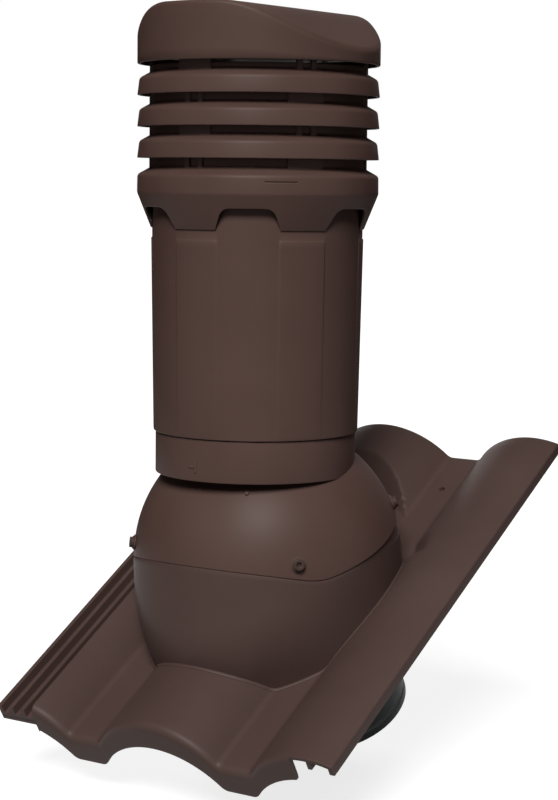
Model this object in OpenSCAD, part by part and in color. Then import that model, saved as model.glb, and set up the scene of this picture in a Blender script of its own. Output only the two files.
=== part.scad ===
// Roof vent pipe: a louvred outlet pipe on a ball seat, moulded on a double-roll roof tile.
// Frame: +Z is the pipe's axis, +Y points up the roof, and the origin is the point where
// the pipe's axis crosses the valley face of the tile.

/* [Roof tile] */
// Pitch of the roof at which the pipe stands upright, in degrees
roof_pitch = 30; // [28:0.5:32]
// Length of the tile from the eave edge to the head
tile_length = 415; // [410:1:440]
// Distance between two neighbouring rolls
roll_pitch = 151.5; // [150:0.5:155]
// Height of a roll above the valley
roll_height = 31.5; // [29:0.5:33]
// Radius of a roll's crown
roll_radius = 73; // [71:0.5:75]
// Radius of the hollow where a roll meets the valley
roll_fillet = 8; // [5:0.5:10]
// Wall of the moulded tile
tile_wall = 4; // [3.5:0.25:4.5]
// Distance down the slope from the pipe's axis to the eave edge
eave_run = 156; // [150:1:162]
// Depth of the skirt along the eave edge
skirt_depth = 25; // [20:1:28]
// Depth of the lip along the right edge, under the level of the crowns
lip_drop = 13; // [10:0.5:16]
// Reach of the right edge past the last crown
right_reach = 25; // [22:0.5:28]
// Distance from the left crown to the interlock strip
left_reach = 29.5; // [27:0.5:32]
// Width of the interlock strip on the left edge
lock_strip = 36; // [34:0.5:40]
// Height of the interlock strip above the valley
lock_level = 14; // [11:0.5:15]
// Height of the interlock ribs
rib_height = 8; // [5:0.5:9]
// Width of one interlock rib
rib_width = 4; // [3:0.5:5]
// Bore of the two nail holes
nail_bore = 5.5; // [4:0.5:7]
// Distance of the nail holes from the eave edge
nail_run = 368; // [360:1:375]
// Depth of the hanging nibs under the head
nib_depth = 16; // [10:1:20]

/* [Ball seat] */
// Height of the ball's centre, plumb above the origin
ball_rise = 62.5; // [61:0.5:64]
// Distance of the ball's centre up the roof, level from the origin
ball_back = 20.7; // [19:0.1:22]
// Outer radius of the ball shell
shell_radius = 114.2; // [113.4:0.1:115]
// Wall of the ball shell
shell_wall = 1.8; // [1.6:0.1:2]
// Wall of the seat inside the shell
seat_wall = 3.2; // [3:0.1:3.6]
// Running gap between shell and seat
slide_gap = 0.3; // [0.3:0.05:0.4]
// Angle by which the pipe can be leaned back for a steeper roof
lean_range = 15; // [10:1:15]
// Radius of the barrel under the shell's rim
barrel_radius = 114.5; // [114:0.1:115]
// Half width of the dome's foot across the tile
foot_half_width = 113; // [113:0.5:115]
// Half length of the dome's foot along the slope
foot_half_length = 126; // [124:1:128]
// Radius of the foot's two ends
foot_end_radius = 95; // [92:1:98]
// Height of the raised bead round the foot
bead_height = 2.5; // [1.5:0.25:3]
// Width of the raised bead round the foot
bead_width = 5; // [3:0.5:6]
// Distance of the water recess up the slope from the ball's centre
recess_back = 40; // [36:1:44]
// Radius of the water recess at valley level
recess_radius = 100; // [97:1:103]
// Growth of the recess's radius with its height
recess_flare = 0.9; // [0.8:0.05:1]
// Rise of the shell's rim towards the eave
rim_fall = 0.19; // [0.17:0.01:0.22]
// Rise of the shell's rim towards the head
rim_climb = 0.336; // [0.32:0.004:0.36]
// Radius of the rim's lowest corner
rim_corner = 40; // [30:1:60]
// Height of the seat's upper edge above the ball's centre
seat_top = 62; // [60:0.5:63]
// Diameter of the clamping screws
screw_size = 5.8; // [5.4:0.2:6]
// Diameter of the washers under the screw heads
washer_size = 13; // [12:0.5:14]

/* [Pipe] */
// Outer radius of the lock ring under the sleeve
ring_radius = 83.6; // [83.2:0.1:84]
// Height of the lock ring
ring_height = 34.6; // [33:0.2:36]
// Height of the lock ring's lower edge above the ball's centre
ring_lift = 74.6; // [73:0.2:76]
// Outer radius of the sleeve at its foot
sleeve_foot_radius = 85.3; // [85.1:0.1:85.6]
// Outer radius of the sleeve under the collar
sleeve_head_radius = 87.3; // [87.1:0.1:87.5]
// Wall of the sleeve
sleeve_wall = 2.4; // [2.2:0.1:2.5]
// Height from the lock ring to the tips of the collar's teeth
sleeve_height = 167; // [140:1:260]
// Height by which the panels stand out of the sleeve
panel_proud = 1; // [0.6:0.1:1.2]
// Angle across one panel
panel_angle = 27; // [24:1:30]
// Outer radius of the inner duct
duct_radius = 62.5; // [61:0.5:63.5]
// Wall of the inner duct
duct_wall = 2.5; // [2:0.1:3]
// Twist of the bayonet between locked and free
twist_range = 20; // [15:1:24]
// Angle across one bayonet lug
lug_angle = 8; // [6:1:10]

/* [Louvre head] */
// Radius of the hood
head_radius = 100; // [99.6:0.1:100.6]
// Distance from one louvre to the next
louvre_pitch = 25.6; // [25:0.1:28]
// Radius of the necks between the louvres
neck_size = 89.6; // [89.4:0.1:90]
// Wall of the louvres
louvre_wall = 2.2; // [2:0.1:2.4]
// Height of a louvre's skirt
skirt_height = 10; // [9:0.2:10.6]
// Height of a louvre's shoulder
shoulder_height = 6; // [5.6:0.2:6.4]
// Angle across one long bar between two louvres
bar_angle = 20; // [14:1:26]
// Angle from the middle of a pair of pegs to each peg
peg_spread = 4; // [3.5:0.25:6]
// Height of the hood's crown above its rim
hood_height = 46; // [44:0.5:48]
// Height of the hood's side wall
hood_side = 11; // [11:0.25:12]
// Radius of the hood's shoulders
hood_shoulder = 70; // [60:1:72]
// Slope of the hood's flanks
hood_slope = 0.637; // [0.62:0.01:0.66]
// Wall of the hood
hood_wall = 2.5; // [2.2:0.1:2.6]

/* [Duct adapter] */
// Radius of the duct spigot under the tile
spigot_radius = 62.5; // [60:0.5:64]
// Wall of the spigot
spigot_wall = 3; // [2.5:0.25:3.5]
// Depth of the spigot's lower edge under the valley face
spigot_depth = 147; // [120:1:160]
// Distance of the spigot up the slope from the ball's centre
spigot_back = 23; // [20:1:26]
// Thickness of the adapter's flange
flange_thick = 3; // [2.5:0.25:4]
// Thickness of the seal between flange and tile
seal_thick = 2; // [1.5:0.25:3]
// Diameter of the flange's four screws
flange_screw = 3.5; // [3:0.1:4]

/* [Hidden] */
$fn = 96;

// Clearance between pieces that slip into each other
fit = 0.3;
// Gap between faces that lie on each other
lay = 0.1;
// Overlap that joins two volumes of one moulding
bond = 0.5;
brown = "#4a3833";
dark_brown = "#3f302b";
black = "#2b3132";
foam = "#b9bcb8";
steel = "#8a8d8f";

// Heights along the pipe
ring_foot = ball_rise + ring_lift;
ring_top = ring_foot + ring_height;
web_thick = 3;
neck_top = ring_top + 40;
tooth_tip = ring_top + sleeve_height;
collar_foot = tooth_tip + 30;
sleeve_top = collar_foot + 3.25;
first_gap = 28.2;
louvre_foot = collar_foot + first_gap;
hood_foot = louvre_foot + 3 * louvre_pitch;
duct_foot = ball_rise + 31.5;
duct_top = collar_foot + skirt_height + shoulder_height + 2;

// Radii that fit one another
shell_bore = shell_radius - shell_wall;
seat_radius = shell_bore - slide_gap;
seat_bore = seat_radius - seat_wall;
ring_wall = 2;
neck_gap = 1.3;
neck_wall = 2.5;
neck_radius = ring_radius - ring_wall - neck_gap;
neck_bore = neck_radius - neck_wall;
sleeve_foot = ring_top + fit;

// The ball's centre in the tile's own directions, up the slope and square to the tile
ball_run = ball_back * cos(roof_pitch) + ball_rise * sin(roof_pitch);
ball_lift = ball_rise * cos(roof_pitch) - ball_back * sin(roof_pitch);
spigot_run = ball_run + spigot_back;
recess_run = ball_run + recess_back;

// Edges across the tile
right_edge = roll_pitch + right_reach;
roll_start = left_reach - roll_pitch;
left_edge = roll_start - lock_strip;
valley_x = roll_pitch / 2;
tile_under = 80;
skirt_end = roll_pitch - 13.5;
front_bottom = 7;
underlap_x = roll_pitch + 2;
underlap_depth = 11.5;

// Deepest corner of the shell's rim, from the ball's centre
rim_corner_y = -0.549 * shell_radius;
rim_corner_z = -0.0276 * shell_radius;

// Clamping screws: azimuth from the eave side and elevation, as seen from the ball's centre
screw_places = [[46.9, 6], [122.1, 23.8]];
screw_bore = screw_size / 2 + 0.2;
slot_half = screw_size / 2 + 0.4;
washer_thick = 1;
head_height = 3.4;
nut_radius = 5;
nut_thick = 4;
nut_face = sqrt(pow(seat_bore, 2) - pow(nut_radius, 2)) - lay;

// Seal groove in the seat, tipped so that the shell covers it in every pose
groove_tip = 3.5;
groove_low = 49;
groove_high = 53;
groove_floor = 97.6;

// Bayonet in the sleeve's foot
bayonet_low = ring_top + 18;
bayonet_high = ring_top + 34;
lug_low = ring_top + 23;
lug_high = ring_top + 29;
lug_play = 0.3;
seal_low = ring_top + 8;
seal_high = ring_top + 13;
seal_depth = 1.2;

// Louvre profile, from the rim of one louvre
rim_radius = head_radius - 0.3;
shoulder_radius = rim_radius - 1.1;
neck_rise = skirt_height + shoulder_height;
inner_drop = 1.25;
overlap = 4.4;
fin_out = neck_size + 2.2;
liner_level = 6.5;
liner_thick = 2.5;

// Duct adapter under the tile
flange_radius = 86;
flange_circle = 76;
pilot_bore = flange_screw / 2 + 0.15;
boss_height = 8;
seal_top = -tile_wall - lay;
flange_top = seal_top - seal_thick - lay;
flange_bottom = flange_top - flange_thick;

// Puts children in the tile's frame: x across, y up the slope, z square to the tile
module on_tile() {
    rotate([roof_pitch, 0, 0]) children();
}

// Puts children round the ball's centre, in the row's directions
module at_ball() {
    translate([0, ball_back, ball_rise]) children();
}

// Turns children from +X to an azimuth counted from the eave side
module at_azimuth(angle) {
    rotate([0, 0, angle - 90]) children();
}

// Repeats children on both sides of the pipe
module both_sides() {
    children();
    mirror([1, 0, 0]) children();
}

// Ring about the Z axis with a rectangular section
module tube(outer, inner, low, high) {
    difference() {
        translate([0, 0, low]) cylinder(r = outer, h = high - low);
        translate([0, 0, low - 1]) cylinder(r = inner, h = high - low + 2);
    }
}

// Part of such a ring, centred on +X
module tube_sector(outer, inner, low, high, angle) {
    rotate([0, 0, -angle / 2]) rotate_extrude(angle = angle)
        translate([inner, low]) square([outer - inner, high - low]);
}

// Cross-section of everything under the tile's wave, sunk by a wall
module wave_region(wall) {
    crown = roll_radius - wall;
    hollow = roll_fillet + wall;
    crown_y = roll_height - roll_radius;
    hollow_x = sqrt(pow(crown + hollow, 2) - pow(roll_fillet - crown_y, 2));
    share = crown / (crown + hollow);
    touch_x = hollow_x * share;
    touch_y = crown_y + (roll_fillet - crown_y) * share;
    intersection() {
        translate([roll_start, -tile_under])
            square([right_edge - roll_start, 2 * tile_under]);
        union() {
            translate([-2 * roll_pitch, -tile_under])
                square([4 * roll_pitch, tile_under - wall]);
            for (k = [-1 : 1]) translate([k * roll_pitch, 0]) {
                translate([0, crown_y]) circle(r = crown);
                difference() {
                    polygon([[-hollow_x, -wall - 1], [hollow_x, -wall - 1], [hollow_x, roll_fillet],
                             [touch_x, touch_y], [0, touch_y], [-touch_x, touch_y],
                             [-hollow_x, roll_fillet]]);
                    for (side = [-1, 1]) translate([side * hollow_x, roll_fillet])
                        circle(r = hollow);
                }
            }
        }
    }
}

// Extrudes a cross-section along the slope, between two distances from the eave
module along_slope(from, to) {
    translate([0, to - eave_run, 0]) rotate([90, 0, 0]) linear_extrude(height = to - from)
        children();
}

// Oval outline of the dome's foot in the tile's plane, made of four arcs
module foot_outline(grow) {
    half_x = foot_half_width + grow;
    half_y = foot_half_length + grow;
    end_r = foot_end_radius + grow;
    side_r = (pow(half_y - end_r, 2) + pow(half_x, 2) - pow(end_r, 2)) / (2 * (half_x - end_r));
    meet = (half_y - end_r) * side_r / (side_r - end_r);
    translate([0, ball_run]) {
        for (end = [-1, 1]) translate([0, end * (half_y - end_r)]) circle(r = end_r);
        intersection() {
            translate([half_x - side_r, 0]) circle(r = side_r);
            translate([side_r - half_x, 0]) circle(r = side_r);
            square([3 * half_x, 2 * meet], center = true);
        }
    }
}

// Foot outline raised square to the tile, between two levels
module foot_prism(grow, low, high) {
    on_tile() translate([0, 0, low]) linear_extrude(height = high - low) foot_outline(grow);
}

// Space above the shell's rim, from the ball's centre
module above_rim(gap) {
    fall = atan(rim_fall);
    climb = atan(rim_climb);
    half = (180 - fall - climb) / 2;
    bisect = 90 + (climb - fall) / 2;
    run = rim_corner / tan(half);
    rise = rim_corner / sin(half);
    far = 3 * shell_radius;
    translate([-far, rim_corner_y, rim_corner_z - gap]) rotate([90, 0, 90])
        linear_extrude(height = 2 * far) {
            polygon([[-run * cos(fall), run * sin(fall)], [run * cos(climb), run * sin(climb)],
                     [far, far * rim_climb], [far, far], [-far, far], [-far, far * rim_fall]]);
            translate([rise * cos(bisect), rise * sin(bisect)]) circle(r = rim_corner);
        }
}

// Water recess behind the dome, cut into the rolls and grown by a wall
module recess(wall) {
    slant = sqrt(1 + recess_flare * recess_flare);
    foot = recess_radius + wall * (slant - recess_flare);
    height = 2 * roll_height;
    intersection() {
        translate([0, recess_run, -wall])
            cylinder(r1 = foot, r2 = foot + height * recess_flare, h = height);
        translate([-roll_pitch, recess_run + 12 - wall, -wall])
            cube([2 * roll_pitch, 2 * roll_pitch, height]);
    }
}

// Moulded plate of the tile with its edges, in the tile's frame
module tile_plate() {
    difference() {
        difference() {
            along_slope(0, tile_length) wave_region(0);
            recess(0);
        }
        difference() {
            along_slope(-1, tile_length + 1) wave_region(tile_wall);
            recess(tile_wall);
        }
    }
    // Skirt along the eave
    along_slope(0, tile_wall) intersection() {
        difference() {
            wave_region(0);
            translate([0, -skirt_depth]) wave_region(0);
        }
        translate([roll_start - bond, -tile_under])
            square([skirt_end - roll_start + bond, 2 * tile_under]);
    }
    // Lip on the right edge and the rib under the last crown
    along_slope(0, tile_length) intersection() {
        wave_region(tile_wall / 2);
        union() {
            translate([right_edge - tile_wall, roll_height - lip_drop])
                square([tile_wall, lip_drop]);
            translate([underlap_x, roll_height - underlap_depth])
                square([tile_wall - 1, underlap_depth]);
        }
    }
    // Interlock strip on the left edge
    along_slope(0, tile_length) {
        translate([left_edge, lock_level - tile_wall])
            square([lock_strip + bond, tile_wall]);
        for (k = [0 : 2]) translate([left_edge + k * (lock_strip - rib_width) / 2.6, lock_level - bond])
            square([rib_width, rib_height + bond]);
        intersection() {
            wave_region(tile_wall / 2);
            translate([roll_start, lock_level - tile_wall]) square([tile_wall, roll_height]);
        }
    }
    along_slope(0, tile_wall) translate([left_edge, front_bottom])
        square([lock_strip + bond, lock_level - front_bottom]);
    // Hanging nibs under the head
    for (side = [-1, 1]) translate([side * valley_x - 14, tile_length - eave_run - 14, -tile_wall - nib_depth])
        cube([28, 10, nib_depth + bond]);
}

// Raised bead round the dome's foot
module foot_bead() {
    intersection() {
        foot_prism(bead_width, -tile_wall / 2, ball_lift);
        at_ball() translate([0, 0, -2 * shell_radius])
            cylinder(r = barrel_radius + bead_width, h = 4 * shell_radius);
        on_tile() union() {
            difference() {
                translate([0, 0, bead_height]) along_slope(0, tile_length) wave_region(0);
                recess(0);
                along_slope(0, tile_length) wave_region(tile_wall / 2);
            }
            translate([-roll_pitch, -eave_run / 2, -tile_wall / 2])
                cube([2 * roll_pitch, tile_length, tile_wall / 2 + bead_height]);
        }
    }
}

// Radius of the seat at a height above the ball's centre
function seat_at(height) = sqrt(pow(seat_radius, 2) - pow(height, 2));

// Barrel under the shell's rim, cut back so that the shell clears it in every pose
module dome_barrel() {
    intersection() {
        foot_prism(0, -tile_wall, 3 * shell_radius);
        at_ball() difference() {
            translate([0, 0, -2 * shell_radius]) cylinder(r = barrel_radius, h = 3 * shell_radius);
            above_rim(fit);
            rotate([-lean_range / 2, 0, 0]) above_rim(fit);
            rotate([-lean_range, 0, 0]) above_rim(fit);
        }
    }
    // Seat that the shell slides on
    intersection() {
        foot_prism(0, -tile_wall, 3 * shell_radius);
        at_ball() sphere(r = seat_radius);
        at_ball() translate([-shell_radius, -shell_radius, -16])
            cube([2 * shell_radius, 2 * shell_radius, seat_top + 16]);
    }
}

// Space inside the dome
module dome_hollow() {
    intersection() {
        foot_prism(-seat_wall, -2 * tile_wall, 3 * shell_radius);
        at_ball() union() {
            sphere(r = seat_bore);
            translate([0, 0, -2 * shell_radius])
                cylinder(r = barrel_radius - seat_wall, h = 2 * shell_radius - 12);
        }
    }
}

// Direction of a clamping screw on the ball: +Z of the children points outwards
module at_screw(place) {
    at_ball() rotate([0, 0, place[0] - 90]) rotate([0, 90 - place[1], 0]) children();
}

// Slot in the seat that lets one clamping screw travel with the shell
module screw_slot(place) {
    across = cos(place[1]) * sin(place[0]);
    front = -cos(place[1]) * cos(place[0]);
    up = sin(place[1]);
    cone = acos(across);
    start = atan2(up, front);
    inner = seat_bore - 4;
    outer = barrel_radius + 4;
    end = asin(slot_half / (seat_bore * sin(cone)));
    at_ball() rotate([start - lean_range - end, 0, 0]) rotate([90, 0, 90])
        rotate_extrude(angle = lean_range + 2 * end) rotate(90 - cone) translate([inner, -slot_half])
            square([outer - inner, 2 * slot_half]);
}

// Section of the wiper seal's groove in the seat, and the seal that lies in it
module seal_ring(play, outer_low, outer_high) {
    at_ball() rotate([groove_tip, 0, 0]) rotate_extrude() polygon([
        [groove_floor + play, groove_low + play], [outer_low, groove_low + play],
        [outer_high, groove_high - play], [groove_floor + play, groove_high - play]]);
}

module tile_base() {
    color(brown) {
        difference() {
            union() {
                on_tile() tile_plate();
                foot_bead();
                dome_barrel();
            }
            dome_hollow();
            both_sides() for (place = screw_places) screw_slot(place);
            seal_ring(0, shell_radius, shell_radius);
            for (side = [-1, 1]) on_tile()
                translate([side * valley_x, nail_run - eave_run, -2 * tile_wall])
                    cylinder(r = nail_bore / 2, h = 4 * tile_wall, $fn = 32);
        }
        // Floor inside the dome with the duct's hole and the screw bosses
        difference() {
            union() {
                intersection() {
                    foot_prism(bond - seat_wall, -tile_wall, 0);
                    at_ball() translate([0, 0, -2 * shell_radius])
                        cylinder(r = barrel_radius - seat_wall + bond, h = 2 * shell_radius);
                }
                at_flange_screws() translate([0, 0, -tile_wall / 2])
                    cylinder(r = 5, h = boss_height + tile_wall / 2, $fn = 32);
            }
            at_spigot() translate([0, 0, -2 * tile_wall])
                cylinder(r = spigot_radius - spigot_wall, h = 4 * tile_wall);
            at_flange_screws() translate([0, 0, -2 * tile_wall])
                cylinder(r = pilot_bore, h = 2 * tile_wall + boss_height - 2, $fn = 32);
        }
    }
}

module ball_shell() {
    neck_foot = ball_rise + 45;
    ring_bore = ring_radius - ring_wall;
    color(brown) difference() {
        union() {
            difference() {
                at_ball() intersection() {
                    rotate([0, 0, 100]) sphere(r = shell_radius);
                    above_rim(0);
                }
                translate([0, 0, ball_rise]) cylinder(r = neck_bore + 1, h = 2 * shell_radius);
            }
            // Neck tube, the ledge under the sleeve and the lock ring, as one section
            rotate([0, 0, 75]) rotate_extrude() polygon([[neck_bore, neck_foot],
                [neck_radius, neck_foot], [neck_radius, ring_top - web_thick],
                [ring_bore, ring_top - web_thick], [ring_bore, ring_foot], [ring_radius, ring_foot],
                [ring_radius, ring_top], [neck_radius, ring_top],
                [neck_radius, seal_low], [neck_radius - seal_depth, seal_low],
                [neck_radius - seal_depth, seal_high], [neck_radius, seal_high],
                [neck_radius, neck_top], [neck_bore, neck_top]]);
        }
        at_ball() rotate([0, 0, 100]) sphere(r = shell_bore);
        for (k = [0 : 2]) at_azimuth(120 * k) {
            rotate([0, 0, twist_range / 2]) tube_sector(neck_radius + 1, neck_bore - 1,
                lug_low - fit, lug_high + fit, lug_angle + twist_range + 2 * lug_play);
            rotate([0, 0, twist_range]) tube_sector(neck_radius + 2, neck_bore - 2,
                lug_high - 1, neck_top + 1, lug_angle + lug_play);
        }
        both_sides() for (place = screw_places) at_screw(place)
            translate([0, 0, seat_bore]) cylinder(r = screw_bore, h = 20, $fn = 32);
    }
}

module sleeve_pipe() {
    color(brown) {
        rotate_extrude() polygon([[sleeve_foot_radius - sleeve_wall, sleeve_foot],
            [sleeve_foot_radius, sleeve_foot], [sleeve_head_radius, tooth_tip],
            [sleeve_head_radius, sleeve_top], [sleeve_head_radius - sleeve_wall, sleeve_top],
            [sleeve_head_radius - sleeve_wall, tooth_tip]]);
        for (k = [0 : 5]) at_azimuth(60 * k) rotate([0, 0, -panel_angle / 2])
            rotate_extrude(angle = panel_angle) polygon([
                [sleeve_radius(panel_low) - bond, panel_low],
                [sleeve_radius(panel_low) + panel_proud, panel_low],
                [sleeve_radius(panel_high) + panel_proud, panel_high],
                [sleeve_radius(panel_high) - bond, panel_high]]);
    }
}

// Ends of the sleeve's panels and the sleeve's outer radius at a height
panel_low = ring_top + 2.5;
panel_high = tooth_tip - 10;
function sleeve_radius(height) = sleeve_foot_radius
    + (sleeve_head_radius - sleeve_foot_radius) * (height - sleeve_foot) / (tooth_tip - sleeve_foot);

// Window between two teeth of the collar, as a flat outline standing on the tips' level
module tooth_window() {
    half_low = 26;
    round_x = 14;
    round_y = 10;
    round_r = 5;
    corner = [for (turn = [30 : 15 : 90]) [round_x + round_r * cos(turn), round_y + round_r * sin(turn)]];
    mirrored = [for (k = [len(corner) - 1 : -1 : 0]) [-corner[k][0], corner[k][1]]];
    polygon(concat([[-half_low, -1], [half_low, -1]], corner, mirrored));
}

// Pegs and bars that carry the next louvre: three long bars and three pairs of pegs
module carriers(foot, gap, bars_at, flat) {
    inner = neck_size - 1;
    slope = (shoulder_height - 0.1) / (shoulder_radius - neck_size);
    low_in = foot + neck_rise - 1;
    low_out = foot + skirt_height + (shoulder_radius - fin_out) * shoulder_height
        / (shoulder_radius - neck_size) - 1;
    ring_out = foot + gap + skirt_height - inner_drop
        + (shoulder_radius - louvre_wall - fin_out) * slope - 0.4;
    top_out = flat > 0 ? foot + gap + flat - fit : ring_out;
    top_in = flat > 0 ? top_out : ring_out + (fin_out - inner) * slope;
    outline = [[inner, low_in], [fin_out, low_out], [fin_out, top_out], [inner, top_in]];
    for (k = [0 : 2]) {
        at_azimuth(bars_at + 120 * k) rotate([0, 0, -bar_angle / 2])
            rotate_extrude(angle = bar_angle) polygon(outline);
        for (side = [-1, 1]) at_azimuth(bars_at + 60 + 120 * k + side * peg_spread)
            rotate([0, 0, -1.5]) rotate_extrude(angle = 3) polygon(outline);
    }
}

// One louvre: skirt, shoulder and neck, with its carriers
module louvre(foot, bars_at, neck_height, flat) {
    rotate_extrude() polygon([[rim_radius, foot], [shoulder_radius, foot + skirt_height],
        [neck_size, foot + neck_rise], [neck_size, foot + neck_height],
        [neck_size - louvre_wall, foot + neck_height],
        [neck_size - louvre_wall, foot + neck_rise - inner_drop],
        [shoulder_radius - louvre_wall, foot + skirt_height - inner_drop],
        [rim_radius - louvre_wall, foot]]);
    carriers(foot, louvre_pitch, bars_at, flat);
}

module head_collar() {
    tip_out = neck_size - 0.4;
    tip_in = sleeve_head_radius + 0.5;
    tube_out = sleeve_head_radius;
    tube_in = sleeve_head_radius - louvre_wall;
    tube_foot = sleeve_top + liner_thick + 3 * lay;
    chamfer = collar_foot + skirt_height;
    neck = collar_foot + neck_rise;
    neck_end = louvre_foot + overlap;
    color(brown) {
        difference() {
            rotate([0, 0, 15]) rotate_extrude() polygon([[tip_in, tooth_tip], [tip_out, tooth_tip],
                [rim_radius, collar_foot], [rim_radius, chamfer], [neck_size, neck],
                [neck_size, neck_end], [neck_size - louvre_wall, neck_end],
                [neck_size - louvre_wall, neck + 0.4], [tube_in, neck - 1.4], [tube_in, tube_foot],
                [tube_out, tube_foot], [tube_out, neck - 2.1], [neck_size - 1.2, neck - 2],
                [rim_radius - louvre_wall, chamfer - inner_drop],
                [rim_radius - louvre_wall, collar_foot + 0.4], [tip_in, tooth_tip + 2.3]]);
            for (k = [0 : 5]) at_azimuth(60 * k + 30) translate([sleeve_head_radius - 8, 0, tooth_tip])
                rotate([90, 0, 90]) linear_extrude(height = 30) tooth_window();
        }
        carriers(collar_foot, first_gap, 60, 0);
    }
}

module louvre_ring_1() {
    color(brown) louvre(louvre_foot + 2 * louvre_pitch, 0, louvre_pitch - 1.6, liner_level);
}

module louvre_ring_2() {
    color(brown) louvre(louvre_foot + louvre_pitch, 60, louvre_pitch + overlap, 0);
}

module louvre_ring_3() {
    color(brown) louvre(louvre_foot, 0, louvre_pitch + overlap, 0);
}

// Cross-section under the hood's roof, sunk by a wall
module roof_region(wall) {
    angle = atan(hood_slope);
    meet_x = head_radius - (hood_height - hood_side) / hood_slope;
    arc_x = meet_x - hood_shoulder * tan(angle / 2);
    arc_y = hood_height - hood_shoulder;
    arc_r = hood_shoulder - wall;
    touch_x = arc_x + arc_r * sin(angle);
    touch_y = arc_y + arc_r * cos(angle);
    end_x = head_radius + 10;
    end_y = touch_y - (end_x - touch_x) * hood_slope;
    intersection() {
        translate([-2 * head_radius, -1]) square([4 * head_radius, 2 * head_radius]);
        union() {
            polygon([[-end_x, -2], [end_x, -2], [end_x, end_y], [touch_x, touch_y],
                     [arc_x, touch_y], [arc_x, hood_height - wall], [-arc_x, hood_height - wall],
                     [-arc_x, touch_y], [-touch_x, touch_y], [-end_x, end_y]]);
            for (side = [-1, 1]) translate([side * arc_x, arc_y]) circle(r = arc_r);
        }
    }
}

// Volume under the hood's roof inside a radius
module roof_volume(radius, wall, low) {
    intersection() {
        rotate([0, 0, 45]) translate([0, 0, low]) cylinder(r = radius, h = 2 * hood_height);
        rotate([90, 0, 0]) linear_extrude(height = 3 * head_radius, center = true) roof_region(wall);
    }
}

module rain_hood() {
    rib_x = 20;
    rib_low = liner_level + liner_thick + fit;
    rib_reach = sqrt(pow(head_radius - hood_wall / 2, 2) - pow(rib_x, 2));
    rib_tall = hood_height - hood_wall / 2 - rib_low;
    color(brown) translate([0, 0, hood_foot]) {
        difference() {
            roof_volume(head_radius, 0.01, 0);
            roof_volume(head_radius - hood_wall, hood_wall, -1);
        }
        // Ribs that stand on the liner
        for (side = [-1, 1]) translate([side * rib_x - 1, -rib_reach, rib_low])
            cube([2, 2 * rib_reach, rib_tall]);
        translate([-rib_x, -1, rib_low]) cube([2 * rib_x, 2, rib_tall]);
    }
}

module hood_liner() {
    color(dark_brown) translate([0, 0, hood_foot + liner_level])
        cylinder(r = head_radius - hood_wall - fit, h = liner_thick);
}

module inner_duct() {
    color(dark_brown) {
        tube(duct_radius, duct_radius - duct_wall, duct_foot, duct_top);
        tube(duct_radius + 3.5, duct_radius - bond, bottom_low - 2.5 - lay, bottom_low - lay);
        tube(duct_radius + 3.5, duct_radius - bond, top_low + liner_thick + lay,
            top_low + liner_thick + 2.5);
    }
}

// Heights of the two centring rings
bottom_low = ring_top - 8.5;
bottom_thick = 3.5;
top_low = sleeve_top + lay;

module centring_ring_bottom() {
    color(dark_brown) tube(neck_bore - fit, duct_radius + fit, bottom_low, bottom_low + bottom_thick);
}

module centring_ring_top() {
    color(dark_brown) tube(sleeve_head_radius - lay, duct_radius + fit, top_low, top_low + liner_thick);
}

module insulation_tube() {
    color(foam) tube(neck_bore - 3 * fit, duct_radius + fit, bottom_low + bottom_thick + lay,
        top_low - lay);
}

module sleeve_seal() {
    color(black) tube(sleeve_foot_radius - sleeve_wall - lay, neck_radius - seal_depth + lay,
        seal_low + lay, seal_high - lay);
}

module bayonet_ring() {
    color(dark_brown) {
        rotate_extrude() polygon([[neck_radius + fit, bayonet_low],
            [sleeve_radius(bayonet_low) - sleeve_wall - fit, bayonet_low],
            [sleeve_radius(bayonet_high) - sleeve_wall - fit, bayonet_high],
            [neck_radius + fit, bayonet_high]]);
        for (k = [0 : 2]) at_azimuth(120 * k)
            tube_sector(neck_radius + 1, neck_bore + lay, lug_low, lug_high, lug_angle);
    }
}

module dome_screws() {
    color(dark_brown) both_sides() for (place = screw_places) at_screw(place) difference() {
        union() {
            translate([0, 0, nut_face - nut_thick - 2])
                cylinder(r = screw_size / 2, h = shell_radius - nut_face + nut_thick + 4, $fn = 32);
            translate([0, 0, shell_radius + washer_thick + 2 * lay])
                cylinder(r = washer_size / 2 - 1, h = 1, $fn = 48);
            translate([0, 0, shell_radius + washer_thick + 2 * lay])
                cylinder(r = washer_size / 2 - 2, h = head_height, $fn = 48);
        }
        translate([0, 0, shell_radius + washer_thick + head_height - 1.8])
            cylinder(r = 2.2, h = 4, $fn = 32);
    }
}

module screw_washers() {
    color(steel) both_sides() for (place = screw_places) at_screw(place)
        tube(washer_size / 2, screw_bore, shell_radius + lay, shell_radius + washer_thick + lay);
}

module screw_nuts() {
    color(steel) both_sides() for (place = screw_places) at_screw(place) difference() {
        translate([0, 0, nut_face - nut_thick]) cylinder(r = nut_radius, h = nut_thick, $fn = 6);
        translate([0, 0, nut_face - nut_thick - 1])
            cylinder(r = screw_size / 2 + lay, h = nut_thick + 2, $fn = 32);
    }
}

module ball_seal() {
    color(black) seal_ring(lay, seat_at(groove_low + lay) - lay, seat_at(groove_high - lay) - lay);
}

// Puts children on the spigot's axis, square to the tile
module at_spigot() {
    on_tile() translate([0, spigot_run, 0]) children();
}

// Puts children on the four screws of the adapter's flange
module at_flange_screws() {
    at_spigot() for (k = [0 : 3]) rotate([0, 0, 45 + 90 * k]) translate([flange_circle, 0, 0]) children();
}

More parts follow.
